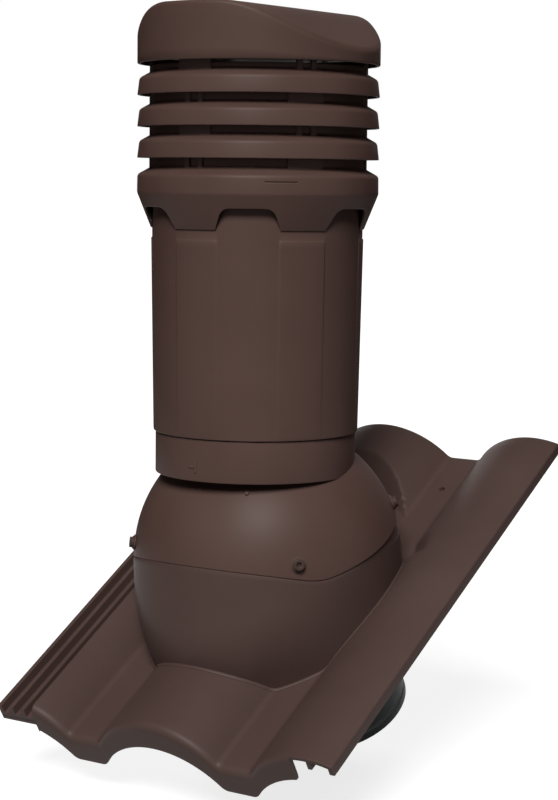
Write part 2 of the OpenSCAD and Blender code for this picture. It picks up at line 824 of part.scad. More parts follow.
module duct_adapter() {
    color(black) difference() {
        at_spigot() {
            translate([0, 0, flange_bottom]) cylinder(r = flange_radius, h = flange_thick);
            translate([0, 0, -spigot_depth])
                cylinder(r = spigot_radius, h = spigot_depth + flange_bottom + bond);
        }
        at_spigot() {
            translate([0, 0, -spigot_depth - 1])
                cylinder(r = spigot_radius - spigot_wall, h = spigot_depth + 1);
            tube(spigot_radius + 1, spigot_radius - spigot_wall / 2, 6 - spigot_depth, 10 - spigot_depth);
        }
        at_flange_screws() translate([0, 0, flange_bottom - 1])
            cylinder(r = flange_screw / 2 + fit, h = flange_thick + 2, $fn = 32);
    }
}

module adapter_seal() {
    color(black) difference() {
        at_spigot() tube(flange_radius, spigot_radius, seal_top - seal_thick, seal_top);
        at_flange_screws() translate([0, 0, seal_top - seal_thick - 1])
            cylinder(r = flange_screw / 2 + fit, h = seal_thick + 2, $fn = 32);
    }
}

module adapter_screws() {
    color(steel) at_flange_screws() {
        translate([0, 0, flange_bottom - lay - 2.2]) cylinder(r = flange_screw, h = 2.2, $fn = 32);
        translate([0, 0, flange_bottom - lay - 1])
            cylinder(r = flange_screw / 2, h = boss_height - 3 - flange_bottom, $fn = 32);
    }
}

module spigot_seal() {
    color(dark_brown) at_spigot() tube(spigot_radius, spigot_radius - spigot_wall / 2 + lay,
        6 - spigot_depth + lay, 10 - spigot_depth - lay);
}

tile_base();
ball_shell();
sleeve_pipe();
head_collar();
louvre_ring_1();
louvre_ring_2();
louvre_ring_3();
rain_hood();
hood_liner();
inner_duct();
insulation_tube();
centring_ring_top();
centring_ring_bottom();
sleeve_seal();
bayonet_ring();
dome_screws();
screw_washers();
screw_nuts();
ball_seal();
duct_adapter();
adapter_seal();
adapter_screws();
spigot_seal();
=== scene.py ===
"""Looks, light and camera of a roof vent pipe that stands on a double-roll roof tile."""

import logging
import math
from dataclasses import dataclass
from enum import Enum
from typing import Callable, Optional, Sequence

import bpy
import numpy as np
from mathutils import Matrix


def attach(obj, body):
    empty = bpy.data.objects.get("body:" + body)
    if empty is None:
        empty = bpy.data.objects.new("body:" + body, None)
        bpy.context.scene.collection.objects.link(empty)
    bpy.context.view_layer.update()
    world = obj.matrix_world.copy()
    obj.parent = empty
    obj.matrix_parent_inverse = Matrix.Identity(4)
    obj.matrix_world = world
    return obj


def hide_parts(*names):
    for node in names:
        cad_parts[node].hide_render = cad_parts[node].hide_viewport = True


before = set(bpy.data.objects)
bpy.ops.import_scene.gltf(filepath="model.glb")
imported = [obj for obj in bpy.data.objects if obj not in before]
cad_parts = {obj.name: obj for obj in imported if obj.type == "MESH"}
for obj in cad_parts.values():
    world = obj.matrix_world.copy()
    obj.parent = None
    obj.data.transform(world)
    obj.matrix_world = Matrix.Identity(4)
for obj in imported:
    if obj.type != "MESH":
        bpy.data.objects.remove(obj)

LOG = logging.getLogger("roof_vent_pipe")
MM = 0.001
# Faces that meet at more than this angle, in degrees, keep a crease.
CREASE = 38.0


class Body(Enum):
    """The moving bodies of the frame."""

    ROOF = "roof"
    SHELL = "shell"
    PIPE = "pipe"


class Slot(Enum):
    """The material slots that the record names."""

    TILE = "tile_brown"
    PIPE = "pipe_brown"
    INNER = "inner_plastic"
    SPIGOT = "spigot_black"
    SEAL = "seal_rubber"
    FOAM = "foam_grey"
    STEEL = "steel"


class End(Enum):
    """How an end of a grid of points is closed."""

    OPEN = 0
    POLE = 1
    CAP = 2


# ---------------------------------------------------------------- colour and node helpers


def linear(hex_colour: str) -> tuple[float, float, float, float]:
    """Turns an sRGB hex colour into the linear colour that a shader reads.

    Args:
        hex_colour: Colour such as "#4a3833".

    Returns:
        Linear red, green and blue, and an alpha of 1.
    """
    channels = [int(hex_colour[k : k + 2], 16) / 255 for k in (1, 3, 5)]
    red, green, blue = (
        c / 12.92 if c <= 0.04045 else ((c + 0.055) / 1.055) ** 2.4 for c in channels
    )
    return red, green, blue, 1.0


def adjust(
    node: bpy.types.Node, links: Optional[dict] = None, **settings: object
) -> bpy.types.Node:
    """Gives a node its settings, input values and incoming links.

    Args:
        node: Node to adjust.
        links: Input name or number to the output socket that feeds it.
        **settings: Attributes of the node, or values of inputs by name, with _ for a space.

    Returns:
        The same node.
    """
    for key, value in settings.items():
        if hasattr(node, key):
            setattr(node, key, value)
        else:
            node.inputs[key.replace("_", " ")].default_value = value
    for key, source in (links or {}).items():
        node.id_data.links.new(source, node.inputs[key])
    return node


def add_node(
    tree: bpy.types.NodeTree, kind: str, links: Optional[dict] = None, **settings: object
) -> bpy.types.Node:
    """Adds one node of a kind such as "ShaderNodeBump" and adjusts it."""
    return adjust(tree.nodes.new(kind), links, **settings)


def new_material(name: str) -> tuple[bpy.types.Material, bpy.types.NodeTree]:
    """Adds a material that uses nodes and returns it with its node tree."""
    made = bpy.data.materials.new(name)
    made.use_nodes = True
    return made, made.node_tree


def noise(tree: bpy.types.NodeTree, size_mm: float, detail: float) -> bpy.types.NodeSocket:
    """Noise in the object's own coordinates, with patches of about size_mm."""
    place = add_node(tree, "ShaderNodeTexCoord").outputs["Object"]
    settings = {"Scale": 1 / (size_mm * MM), "Detail": detail}
    return add_node(tree, "ShaderNodeTexNoise", {"Vector": place}, **settings).outputs["Fac"]


def seen(tree: bpy.types.NodeTree) -> bpy.types.NodeSocket:
    """Tells what the camera sees by itself, in a reflection or through glass.

    Args:
        tree: Node tree that gets the nodes.

    Returns:
        Socket that is 1 for such rays and 0 for all others.
    """
    path = add_node(tree, "ShaderNodeLightPath").outputs
    found = path["Is Camera Ray"]
    for kind in ("Is Glossy Ray", "Is Transmission Ray"):
        found = add_node(
            tree, "ShaderNodeMath", {0: found, 1: path[kind]}, operation="MAXIMUM"
        ).outputs[0]
    return found


# ---------------------------------------------------------------- finishes


@dataclass(frozen=True)
class MouldedPlastic:
    """Injection-moulded plastic, dyed through.

    Polypropylene out of a spark-eroded mould has a fine matte grain that spreads the highlight,
    a faint cloudiness where the melt cooled, and edges that catch the light because no moulded
    edge is sharp; on the edges a highlight is also painted into the colour, which turns paler
    there.
    """

    name: str
    colour: str
    # Paler colour of the random cloud tone, and of the highlight painted along the edges.
    tone_and_highlight_colour: str
    roughness: float = 0.48
    specular: float = 0.13
    # The real grain is about 0.3 mm; it is drawn coarser so that it shows at this distance.
    grain_mm: float = 1.1
    grain_depth: float = 0.12
    grain_height_mm: float = 0.15
    cloud_mm: float = 70.0
    cloud_share: float = 0.10
    cloud_range: tuple[float, float] = (0.3, 0.7)
    edge_mm: float = 1.2
    # Cosines of the turn of the normal at which the painted edge highlight begins and is full.
    highlight_turn: tuple[float, float] = (0.995, 0.86)
    # Share of the paler colour at the edges: a painted highlight.
    highlight_share: float = 0.45
    gloss_spread: float = 0.06
    refraction: float = 1.49

    def material(self) -> bpy.types.Material:
        """Builds the material.

        Returns:
            The material, ready to be assigned.
        """
        made, tree = new_material(self.name)
        grain, cloud = noise(tree, self.grain_mm, 3.0), noise(tree, self.cloud_mm, 4.0)
        bump = add_node(
            tree, "ShaderNodeBump", {"Height": grain},
            Strength=self.grain_depth, Distance=self.grain_height_mm * MM,
        )
        tone = add_node(
            tree, "ShaderNodeMapRange", {"Value": cloud}, From_Min=self.cloud_range[0],
            From_Max=self.cloud_range[1], To_Min=0.0, To_Max=self.cloud_share,
        )
        colour = add_node(
            tree, "ShaderNodeMix", {"Factor": tone.outputs["Result"]}, data_type="RGBA",
            A=linear(self.colour), B=linear(self.tone_and_highlight_colour),
        ).outputs["Result"]
        # Rounded edges, with a highlight painted along them.
        if self.edge_mm > 0:
            colour = self.round_edges_and_paint_highlight(tree, colour, bump)
        gloss = add_node(
            tree, "ShaderNodeMapRange", {"Value": cloud},
            To_Min=self.roughness - self.gloss_spread, To_Max=self.roughness + self.gloss_spread,
        )
        links = {
            "Base Color": colour, "Roughness": gloss.outputs["Result"],
            "Normal": bump.outputs["Normal"],
        }
        shader = tree.nodes["Principled BSDF"]
        adjust(shader, links, Specular_IOR_Level=self.specular, IOR=self.refraction)
        return made

    def round_edges_and_paint_highlight(
        self, tree: bpy.types.NodeTree, colour: bpy.types.NodeSocket, bump: bpy.types.Node
    ) -> bpy.types.NodeSocket:
        """Rounds the edges and paints a highlight on them: the normal turns over the edge's radius,
        and the colour is painted paler where it leaves the face's own normal.

        Args:
            tree: Node tree of the material.
            colour: Colour of the faces.
            bump: Bump node that takes the turned normal.

        Returns:
            The colour with its painted highlight along the edges.
        """
        soft_edge = add_node(tree, "ShaderNodeBevel", samples=6, Radius=self.edge_mm * MM)
        turned = soft_edge.outputs["Normal"]
        adjust(bump, {"Normal": turned})
        flat = add_node(tree, "ShaderNodeNewGeometry").outputs["Normal"]
        turn = add_node(
            tree, "ShaderNodeVectorMath", {0: turned, 1: flat}, operation="DOT_PRODUCT"
        ).outputs["Value"]
        # Painted highlight: paler colour where the rounded normal leaves the face's own normal.
        painted_highlight = add_node(
            tree, "ShaderNodeMapRange", {"Value": turn}, From_Min=self.highlight_turn[0],
            From_Max=self.highlight_turn[1], To_Min=0.0, To_Max=self.highlight_share,
        ).outputs["Result"]
        mixed = add_node(
            tree, "ShaderNodeMix", {"Factor": painted_highlight, "A": colour}, data_type="RGBA",
            B=linear(self.tone_and_highlight_colour),
        )
        return mixed.outputs["Result"]


@dataclass(frozen=True)
class GrainedSolid:
    """A plain solid with an even grain, for seals, foam and zinc-plated steel.

    Rubber is dull with a fine mould texture, polystyrene foam shows its beads of about 4 mm, and
    zinc plating is a grey metal with a faint crystalline mottle.
    """

    name: str
    colour: str
    second_colour: str
    grain_mm: float
    roughness: float
    metallic: float = 0.0
    depth_mm: float = 0.1
    cells: bool = False
    edge_mm: float = 0.5
    bump_share: float = 0.4

    def material(self) -> bpy.types.Material:
        """Builds the material.

        Returns:
            The material, ready to be assigned.
        """
        made, tree = new_material(self.name)
        if self.cells:
            place = add_node(tree, "ShaderNodeTexCoord").outputs["Object"]
            size = 1 / (self.grain_mm * MM)
            grain = add_node(tree, "ShaderNodeTexVoronoi", {"Vector": place}, Scale=size)
            height = grain.outputs["Distance"]
        else:
            height = noise(tree, self.grain_mm, 4.0)
        soft_edge = add_node(tree, "ShaderNodeBevel", samples=4, Radius=self.edge_mm * MM)
        bump = add_node(
            tree, "ShaderNodeBump", {"Height": height, "Normal": soft_edge.outputs["Normal"]},
            Strength=self.bump_share, Distance=self.depth_mm * MM, invert=self.cells,
        )
        colour = add_node(
            tree, "ShaderNodeMix", {"Factor": height}, data_type="RGBA",
            A=linear(self.colour), B=linear(self.second_colour),
        )
        links = {"Base Color": colour.outputs["Result"], "Normal": bump.outputs["Normal"]}
        shader = tree.nodes["Principled BSDF"]
        adjust(shader, links, Metallic=self.metallic, Roughness=self.roughness)
        return made


class Finishes:
    """The part's finishes, each built once and shared by the pieces that wear it."""

    def __init__(self) -> None:
        """Builds every finish of the record's slots."""
        specs = {
            # The tile's brown is a little darker than the pipe's: in part painted shade, which
            # offsets the stronger light that falls on the tile's upward faces.
            Slot.TILE: MouldedPlastic("brown_moulded_tile", "#453531", "#6b5850", edge_mm=0.0),
            Slot.PIPE: MouldedPlastic("brown_moulded_pipe", "#4a3732", "#725c53"),
            Slot.INNER: MouldedPlastic(
                "dark_brown_plastic", "#3a2b27", "#5a4942", roughness=0.55
            ),
            Slot.SPIGOT: MouldedPlastic(
                "black_plastic_spigot", "#2a2f30", "#4a5152", roughness=0.45
            ),
            Slot.SEAL: GrainedSolid("black_seal_rubber", "#161718", "#222426", 0.8, 0.75),
            Slot.FOAM: GrainedSolid(
                "grey_bead_foam", "#c6c8c4", "#a9aca7", 4.0, 0.85, depth_mm=0.5, cells=True
            ),
            Slot.STEEL: GrainedSolid(
                "zinc_plated_steel", "#9a9d9f", "#85888b", 2.5, 0.38, metallic=1.0, depth_mm=0.02
            ),
        }
        self._made = {slot: spec.material() for slot, spec in specs.items()}

    def dress(self, piece: bpy.types.Object, slot: Slot) -> bpy.types.Object:
        """Gives a piece or CAD node the material of a slot.

        Args:
            piece: Object to dress.
            slot: Slot that it takes its finish from.

        Returns:
            The same object.
        """
        piece.data.materials.clear()
        piece.data.materials.append(self._made[slot])
        return piece


# ---------------------------------------------------------------- surfaces


@dataclass
class Shell:
    """A closed skin: its points in millimetres and its faces as tuples of point numbers."""

    points: np.ndarray
    faces: list[tuple[int, ...]]

    def outward(self) -> "Shell":
        """Turns the faces so that the enclosed volume, the sum of signed tetrahedra, is positive.

        Returns:
            The shell with its faces pointing outwards.
        """
        total = 0.0
        for size in {len(f) for f in self.faces}:
            same = np.array([f for f in self.faces if len(f) == size])
            first = self.points[same[:, 0]]
            for k in range(1, size - 1):
                second, third = self.points[same[:, k]], self.points[same[:, k + 1]]
                total += float(np.einsum("ij,ij->", first, np.cross(second, third)))
        if total < 0:
            self.faces = [f[::-1] for f in self.faces]
        return self


def skin(
    grid: np.ndarray,
    ring: bool = True,
    loop: bool = False,
    start: End = End.OPEN,
    end: End = End.OPEN,
) -> Shell:
    """Makes a skin over a grid of points: neighbouring rows and columns span one four-sided face.

    Args:
        grid: Points of shape (rows, columns, 3), in millimetres.
        ring: True where the last column joins the first.
        loop: True where the last row joins the first.
        start: How the first row is closed.
        end: How the last row is closed.

    Returns:
        The skin, its faces pointing outwards.
    """
    rows, columns = grid.shape[:2]
    number = np.arange(rows * columns).reshape(rows, columns)
    points = grid.reshape(-1, 3)
    low = number if loop else number[:-1]
    high = np.roll(number, -1, axis=0) if loop else number[1:]
    left = low if ring else low[:, :-1]
    right = np.roll(low, -1, axis=1) if ring else low[:, 1:]
    left_up = high if ring else high[:, :-1]
    right_up = np.roll(high, -1, axis=1) if ring else high[:, 1:]
    quads = np.stack([left, right, right_up, left_up], axis=-1).reshape(-1, 4)
    faces = [tuple(q) for q in quads.tolist()]
    for side, row in ((start, number[0]), (end, number[-1])):
        first = row[0] == 0
        if side is End.POLE:
            points = np.vstack([points, points[row].mean(axis=0)])
            tip = len(points) - 1
            fan = np.stack([row, np.full_like(row, tip), np.roll(row, -1)], axis=-1)
            faces += [tuple(f if first else f[::-1]) for f in fan.tolist()]
        elif side is End.CAP:
            faces.append(tuple((row[::-1] if first else row).tolist()))
    return Shell(points, faces).outward()


def capped(grid: np.ndarray) -> Shell:
    """Skin over a grid of closed rows, with a flat cap over its first and its last row."""
    return skin(grid, start=End.CAP, end=End.CAP)


def full_turn(steps: int) -> np.ndarray:
    """Angles of equal steps round a full turn, in radians."""
    return np.linspace(0, 2 * np.pi, steps + 1)[:-1]


def column(first: float, last: float, count: int) -> np.ndarray:
    """Even steps as a column, one row of the grid each."""
    return np.linspace(first, last, count)[:, None]


def upright(radius: np.ndarray, turn: np.ndarray, height: np.ndarray) -> np.ndarray:
    """Points round the pipe's axis: x = r cos, y = r sin and z = height."""
    radius, turn, height = np.broadcast_arrays(radius, turn, height)
    return np.stack([radius * np.cos(turn), radius * np.sin(turn), height], axis=-1)


def revolve(section: np.ndarray, around: int = 192) -> Shell:
    """Turns a closed section of radii and heights about the pipe's axis: x = r cos, y = r sin.

    Args:
        section: Corners of shape (n, 2), a radius and a height each.
        around: Number of steps round the axis.

    Returns:
        The closed shell.
    """
    return skin(upright(section[:, :1], full_turn(around), section[:, 1:]), loop=True)


def sector(
    inner: float, outer: float, low: float, high: float, middle: float, width: float
) -> Shell:
    """Part of a ring about the pipe's axis, carried round an arc and closed at both ends.

    Args:
        inner: Inner radius.
        outer: Outer radius.
        low: Lower level.
        high: Upper level.
        middle: Azimuth of its middle from the eave side, in degrees.
        width: Angle across it, in degrees.

    Returns:
        The closed shell.
    """
    turn = np.radians(middle - 90 + width * np.linspace(-0.5, 0.5, 13))[:, None]
    radius, height = np.array([inner, outer, outer, inner]), np.array([low, low, high, high])
    return capped(upright(radius, turn, height))


def halve(
    low: np.ndarray, high: np.ndarray, short: Callable[[np.ndarray], np.ndarray]
) -> tuple[np.ndarray, np.ndarray]:
    """Halves intervals 26 times round the place where a test turns from true to false.

    Args:
        low: Lower ends, where the test holds.
        high: Upper ends, where it doesn't.
        short: Tells for an array of middles where the place still lies further up.

    Returns:
        The lower and the upper ends of the last intervals.
    """
    for _ in range(26):
        middle = (low + high) / 2
        below = short(middle)
        low, high = np.where(below, middle, low), np.where(below, high, middle)
    return low, high


def smooth_min(first: np.ndarray, second: np.ndarray, blend: float) -> np.ndarray:
    """Lower of two surfaces with their crease rounded over a blend width, by a quadratic bridge."""
    share = np.clip(0.5 + 0.5 * (second - first) / blend, 0.0, 1.0)
    return second * (1 - share) + first * share - blend * share * (1 - share)


def rounded(outline: np.ndarray, radius: float | np.ndarray, steps: int = 3) -> np.ndarray:
    """Rounds each corner of a closed outline by a quadratic arc from one edge to the next.

    Args:
        outline: Corners of shape (n, 2).
        radius: Distance from the corner at which the rounding begins, one or one for each corner.
        steps: Number of pieces in each rounded corner.

    Returns:
        The rounded outline, of shape (n * (steps + 1), 2).
    """
    back = np.roll(outline, 1, axis=0) - outline
    ahead = np.roll(outline, -1, axis=0) - outline
    back /= np.linalg.norm(back, axis=1, keepdims=True)
    ahead /= np.linalg.norm(ahead, axis=1, keepdims=True)
    t = np.linspace(0, 1, steps + 1)[None, :, None]
    begin = (outline + radius * back)[:, None, :]
    finish = (outline + radius * ahead)[:, None, :]
    corner = outline[:, None, :]
    return ((1 - t) ** 2 * begin + 2 * t * (1 - t) * corner + t**2 * finish).reshape(-1, 2)


def add_object(name: str, data: bpy.types.ID) -> bpy.types.Object:
    """Adds an object to the scene, with its mesh, lamp or camera."""
    made = bpy.data.objects.new(name, data)
    bpy.context.scene.collection.objects.link(made)
    return made


def shade(mesh: bpy.types.Mesh, crease: float) -> None:
    """Shades a mesh smoothly, with a crease where faces meet at more than an angle."""
    mesh.shade_smooth()
    mesh.set_sharp_from_angle(angle=math.radians(crease))


def make_piece(name: str, shells: Sequence[Shell], crease: float = CREASE) -> bpy.types.Object:
    """Puts one or more shells into one mesh object at the origin, in metres.

    Args:
        name: Name of the piece.
        shells: Closed skins in millimetres.
        crease: Faces that meet at more than this angle, in degrees, keep a crease.

    Returns:
        The new object, linked to the scene.
    """
    points, faces, count = [], [], 0
    for shell in shells:
        points.append(shell.points * MM)
        faces += [tuple(k + count for k in f) for f in shell.faces]
        count += len(shell.points)
    mesh = bpy.data.meshes.new(name)
    mesh.from_pydata(np.vstack(points), [], faces)
    mesh.validate()
    shade(mesh, crease)
    return add_object(name, mesh)


def carve(piece: bpy.types.Object, cutters: Sequence[Shell], crease: float = CREASE) -> None:
    """Takes closed shells out of a piece with an exact boolean and keeps the result as its mesh.

    Args:
        piece: Piece to cut.
        cutters: Shells in millimetres that don't touch one another.
        crease: Faces that meet at more than this angle, in degrees, keep a crease.
    """
    tool = make_piece(piece.name + "_cutter", cutters)
    modifier = piece.modifiers.new("cut", "BOOLEAN")
    modifier.object = tool
    modifier.operation = "DIFFERENCE"
    modifier.solver = "EXACT"
    graph = bpy.context.evaluated_depsgraph_get()
    cut = bpy.data.meshes.new_from_object(piece.evaluated_get(graph))
    piece.modifiers.clear()
    piece.data = cut
    shade(cut, crease)
    bpy.data.objects.remove(tool)


def hand_over(
    piece: bpy.types.Object, finishes: Finishes, slot: Slot, node: str, body: Body
) -> None:
    """Dresses a finished piece and tells the frame what it is, then logs it.

    Args:
        piece: Piece to hand over.
        finishes: The part's finishes.
        slot: Material slot that the piece wears.
        node: CAD node that the piece stands for.
        body: Body that it rides on.
    """
    finishes.dress(piece, slot)
    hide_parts(node)
    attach(piece, body.value)
    LOG.info("%s: %d faces", piece.name, len(piece.data.polygons))


# ---------------------------------------------------------------- ball joint


@dataclass(frozen=True)
class Rim:
    """Edge of the shell: two slopes towards the eave and the head with an arc between them."""

    corner_y: float = -62.7
    corner_z: float = -3.15
    fall: float = 0.19
    climb: float = 0.336
    radius: float = 40.0
    span: tuple[float, float] = (-160.0, 220.0)
    samples: int = 1521

    def level(self, y: np.ndarray, lean: float = 0.0, gap: float = 0.0) -> np.ndarray:
        """Height of the edge over the ball's centre, with the shell leaned about the ball's axis.

        Args:
            y: Distances up the roof from the ball's centre.
            lean: Lean of the shell towards the eave, in degrees.
            gap: Distance under the edge.

        Returns:
            Heights above the ball's centre.
        """
        turns = math.atan(self.fall), math.atan(self.climb)
        half = (math.pi - sum(turns)) / 2
        run, rise = self.radius / math.tan(half), self.radius / math.sin(half)
        bisect = math.pi / 2 + (turns[1] - turns[0]) / 2
        t = np.linspace(*self.span, self.samples)
        off = t - rise * math.cos(bisect)
        arc = rise * math.sin(bisect) - np.sqrt(np.maximum(self.radius**2 - off**2, 0))
        lines = np.where(t < 0, -t * self.fall, t * self.climb)
        bent = (t > -run * math.cos(turns[0])) & (t < run * math.cos(turns[1]))
        curve_y, curve_z = t + self.corner_y, np.where(bent, arc, lines) + self.corner_z - gap
        c, s = math.cos(math.radians(-lean)), math.sin(math.radians(-lean))
        return np.interp(y, curve_y * c - curve_z * s, curve_y * s + curve_z * c)


@dataclass(frozen=True)
class Ball:
    """The ball that the shell slides on: its centre's y and z, the shell's edge, the screws."""

    centre: tuple[float, float] = (20.7, 62.5)
    rim: Rim = Rim()
    # Azimuth from the eave side and rise above the centre, in degrees, of one side's screws.
    screws: tuple[tuple[float, float], ...] = ((46.9, 6.0), (122.1, 23.8))

    def middle(self) -> np.ndarray:
        """Centre of the ball as a point."""
        return np.array([0, *self.centre])

    def place(self, azimuth: np.ndarray, radius: np.ndarray, z: np.ndarray) -> np.ndarray:
        """Points round the ball's upright axis: x = r sin, y = centre - r cos, z = centre + z."""
        azimuth, radius, z = np.broadcast_arrays(azimuth, radius, z)
        y = self.centre[0] - radius * np.cos(azimuth)
        return np.stack([radius * np.sin(azimuth), y, self.centre[1] + z], axis=-1)

    def screw_ways(self) -> list[np.ndarray]:
        """Directions from the centre to the four screws, worked out from azimuth and rise.

        Returns:
            Unit directions: those of the left side, then those of the right side.
        """
        ways = []
        for side in (-1, 1):
            for azimuth, rise in self.screws:
                a, e = math.radians(azimuth), math.radians(rise)
                level = math.cos(e)
                ways.append(
                    np.array([side * math.sin(a) * level, -math.cos(a) * level, math.sin(e)])
                )
        return ways


@dataclass
class BallShell:
    """Round shell that slides over the dome's seat, with lock ring and neck tube on a web."""

    ball: Ball = Ball()
    radius: float = 114.2
    wall: float = 1.8
    edge: float = 0.5
    foot_between: tuple[float, float] = (-60.0, 74.0)
    head_below: float = 110.0
    ring: float = 83.6
    ring_foot: float = 137.1
    ring_top: float = 171.7
    web: float = 3.0
    web_bore: float = 63.5
    neck: float = 80.3
    neck_bore: float = 77.8
    neck_top: float = 211.7
    # Lower level, upper level and depth of the seal's groove.
    seal_groove: tuple[float, float, float] = (179.7, 184.7, 1.2)
    # Lower level, upper level, angle across and turn of the bayonet's lugs.
    lugs: tuple[float, float, float, float] = (194.7, 200.7, 8.0, 20.0)
    lug_gap: float = 0.3
    slots_apart: float = 0.35
    screw_bore: float = 3.1
    bore_reach: float = 6.0
    # Azimuth, angle across, and lower and upper level over the ring's foot of each raised tick.
    ticks: tuple[tuple[float, float, float, float], ...] = (
        (0.0, 0.8, 7.0, 17.0), (-3.0, 3.4, 11.0, 12.2),
    )
    tick_depth: float = 0.5
    tick_proud: float = 0.7
    # Place across, place up the roof, radius and height of each raised dot on the ball.
    dots: tuple[tuple[float, float, float, float], ...] = (
        (37.6, -64.5, 1.9, 1.9), (-4.2, -71.7, 1.1, 0.7),
    )
    around: int = 288

    def on_ball(self, azimuth: np.ndarray, radius: float, z: np.ndarray) -> np.ndarray:
        """Points on a ball round its own centre: r is the square root of radius^2 - z^2."""
        return self.ball.place(azimuth, np.sqrt(radius**2 - z**2), z)

    def foot(self, azimuth: np.ndarray, radius: float) -> np.ndarray:
        """Height at which a ball meets the rim's curve, by halving.

        Args:
            azimuth: Angles from the eave side, in radians.
            radius: Radius of the ball.

        Returns:
            Heights above the ball's centre.
        """
        def under(z: np.ndarray) -> np.ndarray:
            """Where the ball at height z is still under the rim."""
            y = -np.sqrt(radius**2 - z**2) * np.cos(azimuth)
            return z < self.ball.rim.level(y)

        low, high = halve(*(np.full(azimuth.shape, end) for end in self.foot_between), under)
        return (low + high) / 2

    def head(self, azimuth: np.ndarray, radius: float) -> np.ndarray:
        """Height at which a ball runs into the web or the lock ring's wall, by halving.

        Args:
            azimuth: Angles from the eave side, in radians.
            radius: Radius of the ball.

        Returns:
            Heights above the ball's centre.
        """
        def outside(z: np.ndarray) -> np.ndarray:
            """Where the ball at height z is still outside the middle of the ring's wall."""
            place = self.on_ball(azimuth, radius, z)
            return np.hypot(place[..., 0], place[..., 1]) > (self.neck + self.ring) / 2

        low = np.full(azimuth.shape, self.ring_foot + 1 - self.ball.centre[1])
        return halve(low, np.full(azimuth.shape, self.head_below), outside)[0]

    def ball_wall(self) -> Shell:
        """Wall of the shell: the outer ball from the rim to the ring and the inner ball back.

        Returns:
            The closed shell.
        """
        azimuth = full_turn(self.around)
        share = np.concatenate([[0.0, 0.008], np.linspace(0.03, 1, 40)])[:, None]
        inner, between = self.radius - self.wall, self.radius - self.edge
        outer_z = self.foot(azimuth, self.radius) + self.edge
        outer_z = outer_z + (self.head(azimuth, self.radius) - outer_z) * share
        inner_z = self.foot(azimuth, inner)
        inner_z = inner_z + (self.head(azimuth, inner) - inner_z) * share
        rows = [
            self.on_ball(azimuth, self.radius, outer_z),
            self.on_ball(azimuth, inner, inner_z[::-1]),
            self.on_ball(azimuth, between, self.foot(azimuth, between)[None]),
        ]
        return skin(np.concatenate(rows), loop=True)

    def ring_and_neck(self) -> Shell:
        """Web, lock ring and neck tube with the seal's groove, as one section turned round.

        Returns:
            The closed shell.
        """
        low, high, depth = self.seal_groove
        web_top = self.ring_foot + self.web
        section = np.array([
            [self.web_bore, self.ring_foot], [self.ring, self.ring_foot],
            [self.ring, self.ring_top], [self.neck, self.ring_top], [self.neck, low],
            [self.neck - depth, low], [self.neck - depth, high], [self.neck, high],
            [self.neck, self.neck_top], [self.neck_bore, self.neck_top],
            [self.neck_bore, web_top], [self.web_bore, web_top],
        ])
        return revolve(rounded(section, 0.55))

    def marks(self) -> list[Shell]:
        """Raised marks that line the ring up with the ball: ticks on the ring and two dots on
        the ball, each dot a low rounded section turned about the ball's own normal.

        Returns:
            One closed shell for each mark.
        """
        made = [
            sector(
                self.ring - self.tick_depth, self.ring + self.tick_proud,
                self.ring_foot + low, self.ring_foot + high, azimuth, width,
            )
            for azimuth, width, low, high in self.ticks
        ]
        turn = full_turn(24)[:, None]
        for x, y, size, tall in self.dots:
            off = y - self.ball.centre[0]
            rise = math.sqrt(self.radius**2 - x**2 - off**2)
            normal = np.array([x, off, rise]) / self.radius
            side = np.cross(normal, [0.0, 0.0, 1.0])
            side /= np.linalg.norm(side)
            ring = np.cos(turn) * side + np.sin(turn) * np.cross(normal, side)
            reach = size * np.array([1.0, 1.0, 0.85, 0.45])[:, None, None]
            lift = tall * np.array([-0.6, 0.6, 0.9, 1.0])[:, None, None]
            centre = np.array([x, y, rise + self.ball.centre[1]])
            made.append(capped(centre + reach * ring + lift * normal))
        return made

    def bayonet_slots(self) -> list[Shell]:
        """The bayonet's three stepped slots in the neck: a level run and an open way down to it.

        Returns:
            Six closed shells, a level run and a way down by turns.
        """
        low, high, width, twist = self.lugs
        gap, bore, neck = self.lug_gap, self.neck_bore, self.neck
        made = []
        for middle in (0, 120, 240):
            made.append(sector(
                bore - 1, neck + 1, low - gap, high + gap, middle + twist / 2,
                width + twist + 2 * gap,
            ))
            made.append(sector(
                bore - 1.5, neck + 1.5, high + self.slots_apart, self.neck_top + 1,
                middle + twist, width + gap,
            ))
        return made

    def screw_bores(self) -> list[Shell]:
        """The four screw holes in the ball: round bores along the way from its centre.

        Returns:
            One closed shell for each hole.
        """
        turn = full_turn(24)[:, None]
        reach = np.array([self.radius - self.bore_reach, self.radius + self.bore_reach])
        made = []
        for way in self.ball.screw_ways():
            across = np.cross(way, [0.0, 0.0, 1.0])
            across /= np.linalg.norm(across)
            ring = np.cos(turn) * across + np.sin(turn) * np.cross(way, across)
            grid = way * reach[:, None, None] + self.screw_bore * ring + self.ball.middle()
            made.append(capped(grid))
        return made

    def build(self, finishes: Finishes) -> None:
        """Builds and dresses the shell, which stands for the CAD shell.

        Args:
            finishes: The part's finishes.
        """
        wall = make_piece("ball_shell_skin", [self.ball_wall()])
        carve(wall, self.screw_bores())
        neck = make_piece("ball_shell_neck", [self.ring_and_neck()])
        carve(neck, self.bayonet_slots())
        marks = make_piece("ball_shell_marks", self.marks())
        for piece in (wall, neck, marks):
            hand_over(piece, finishes, Slot.PIPE, "ball_shell", Body.SHELL)


# ---------------------------------------------------------------- roof tile


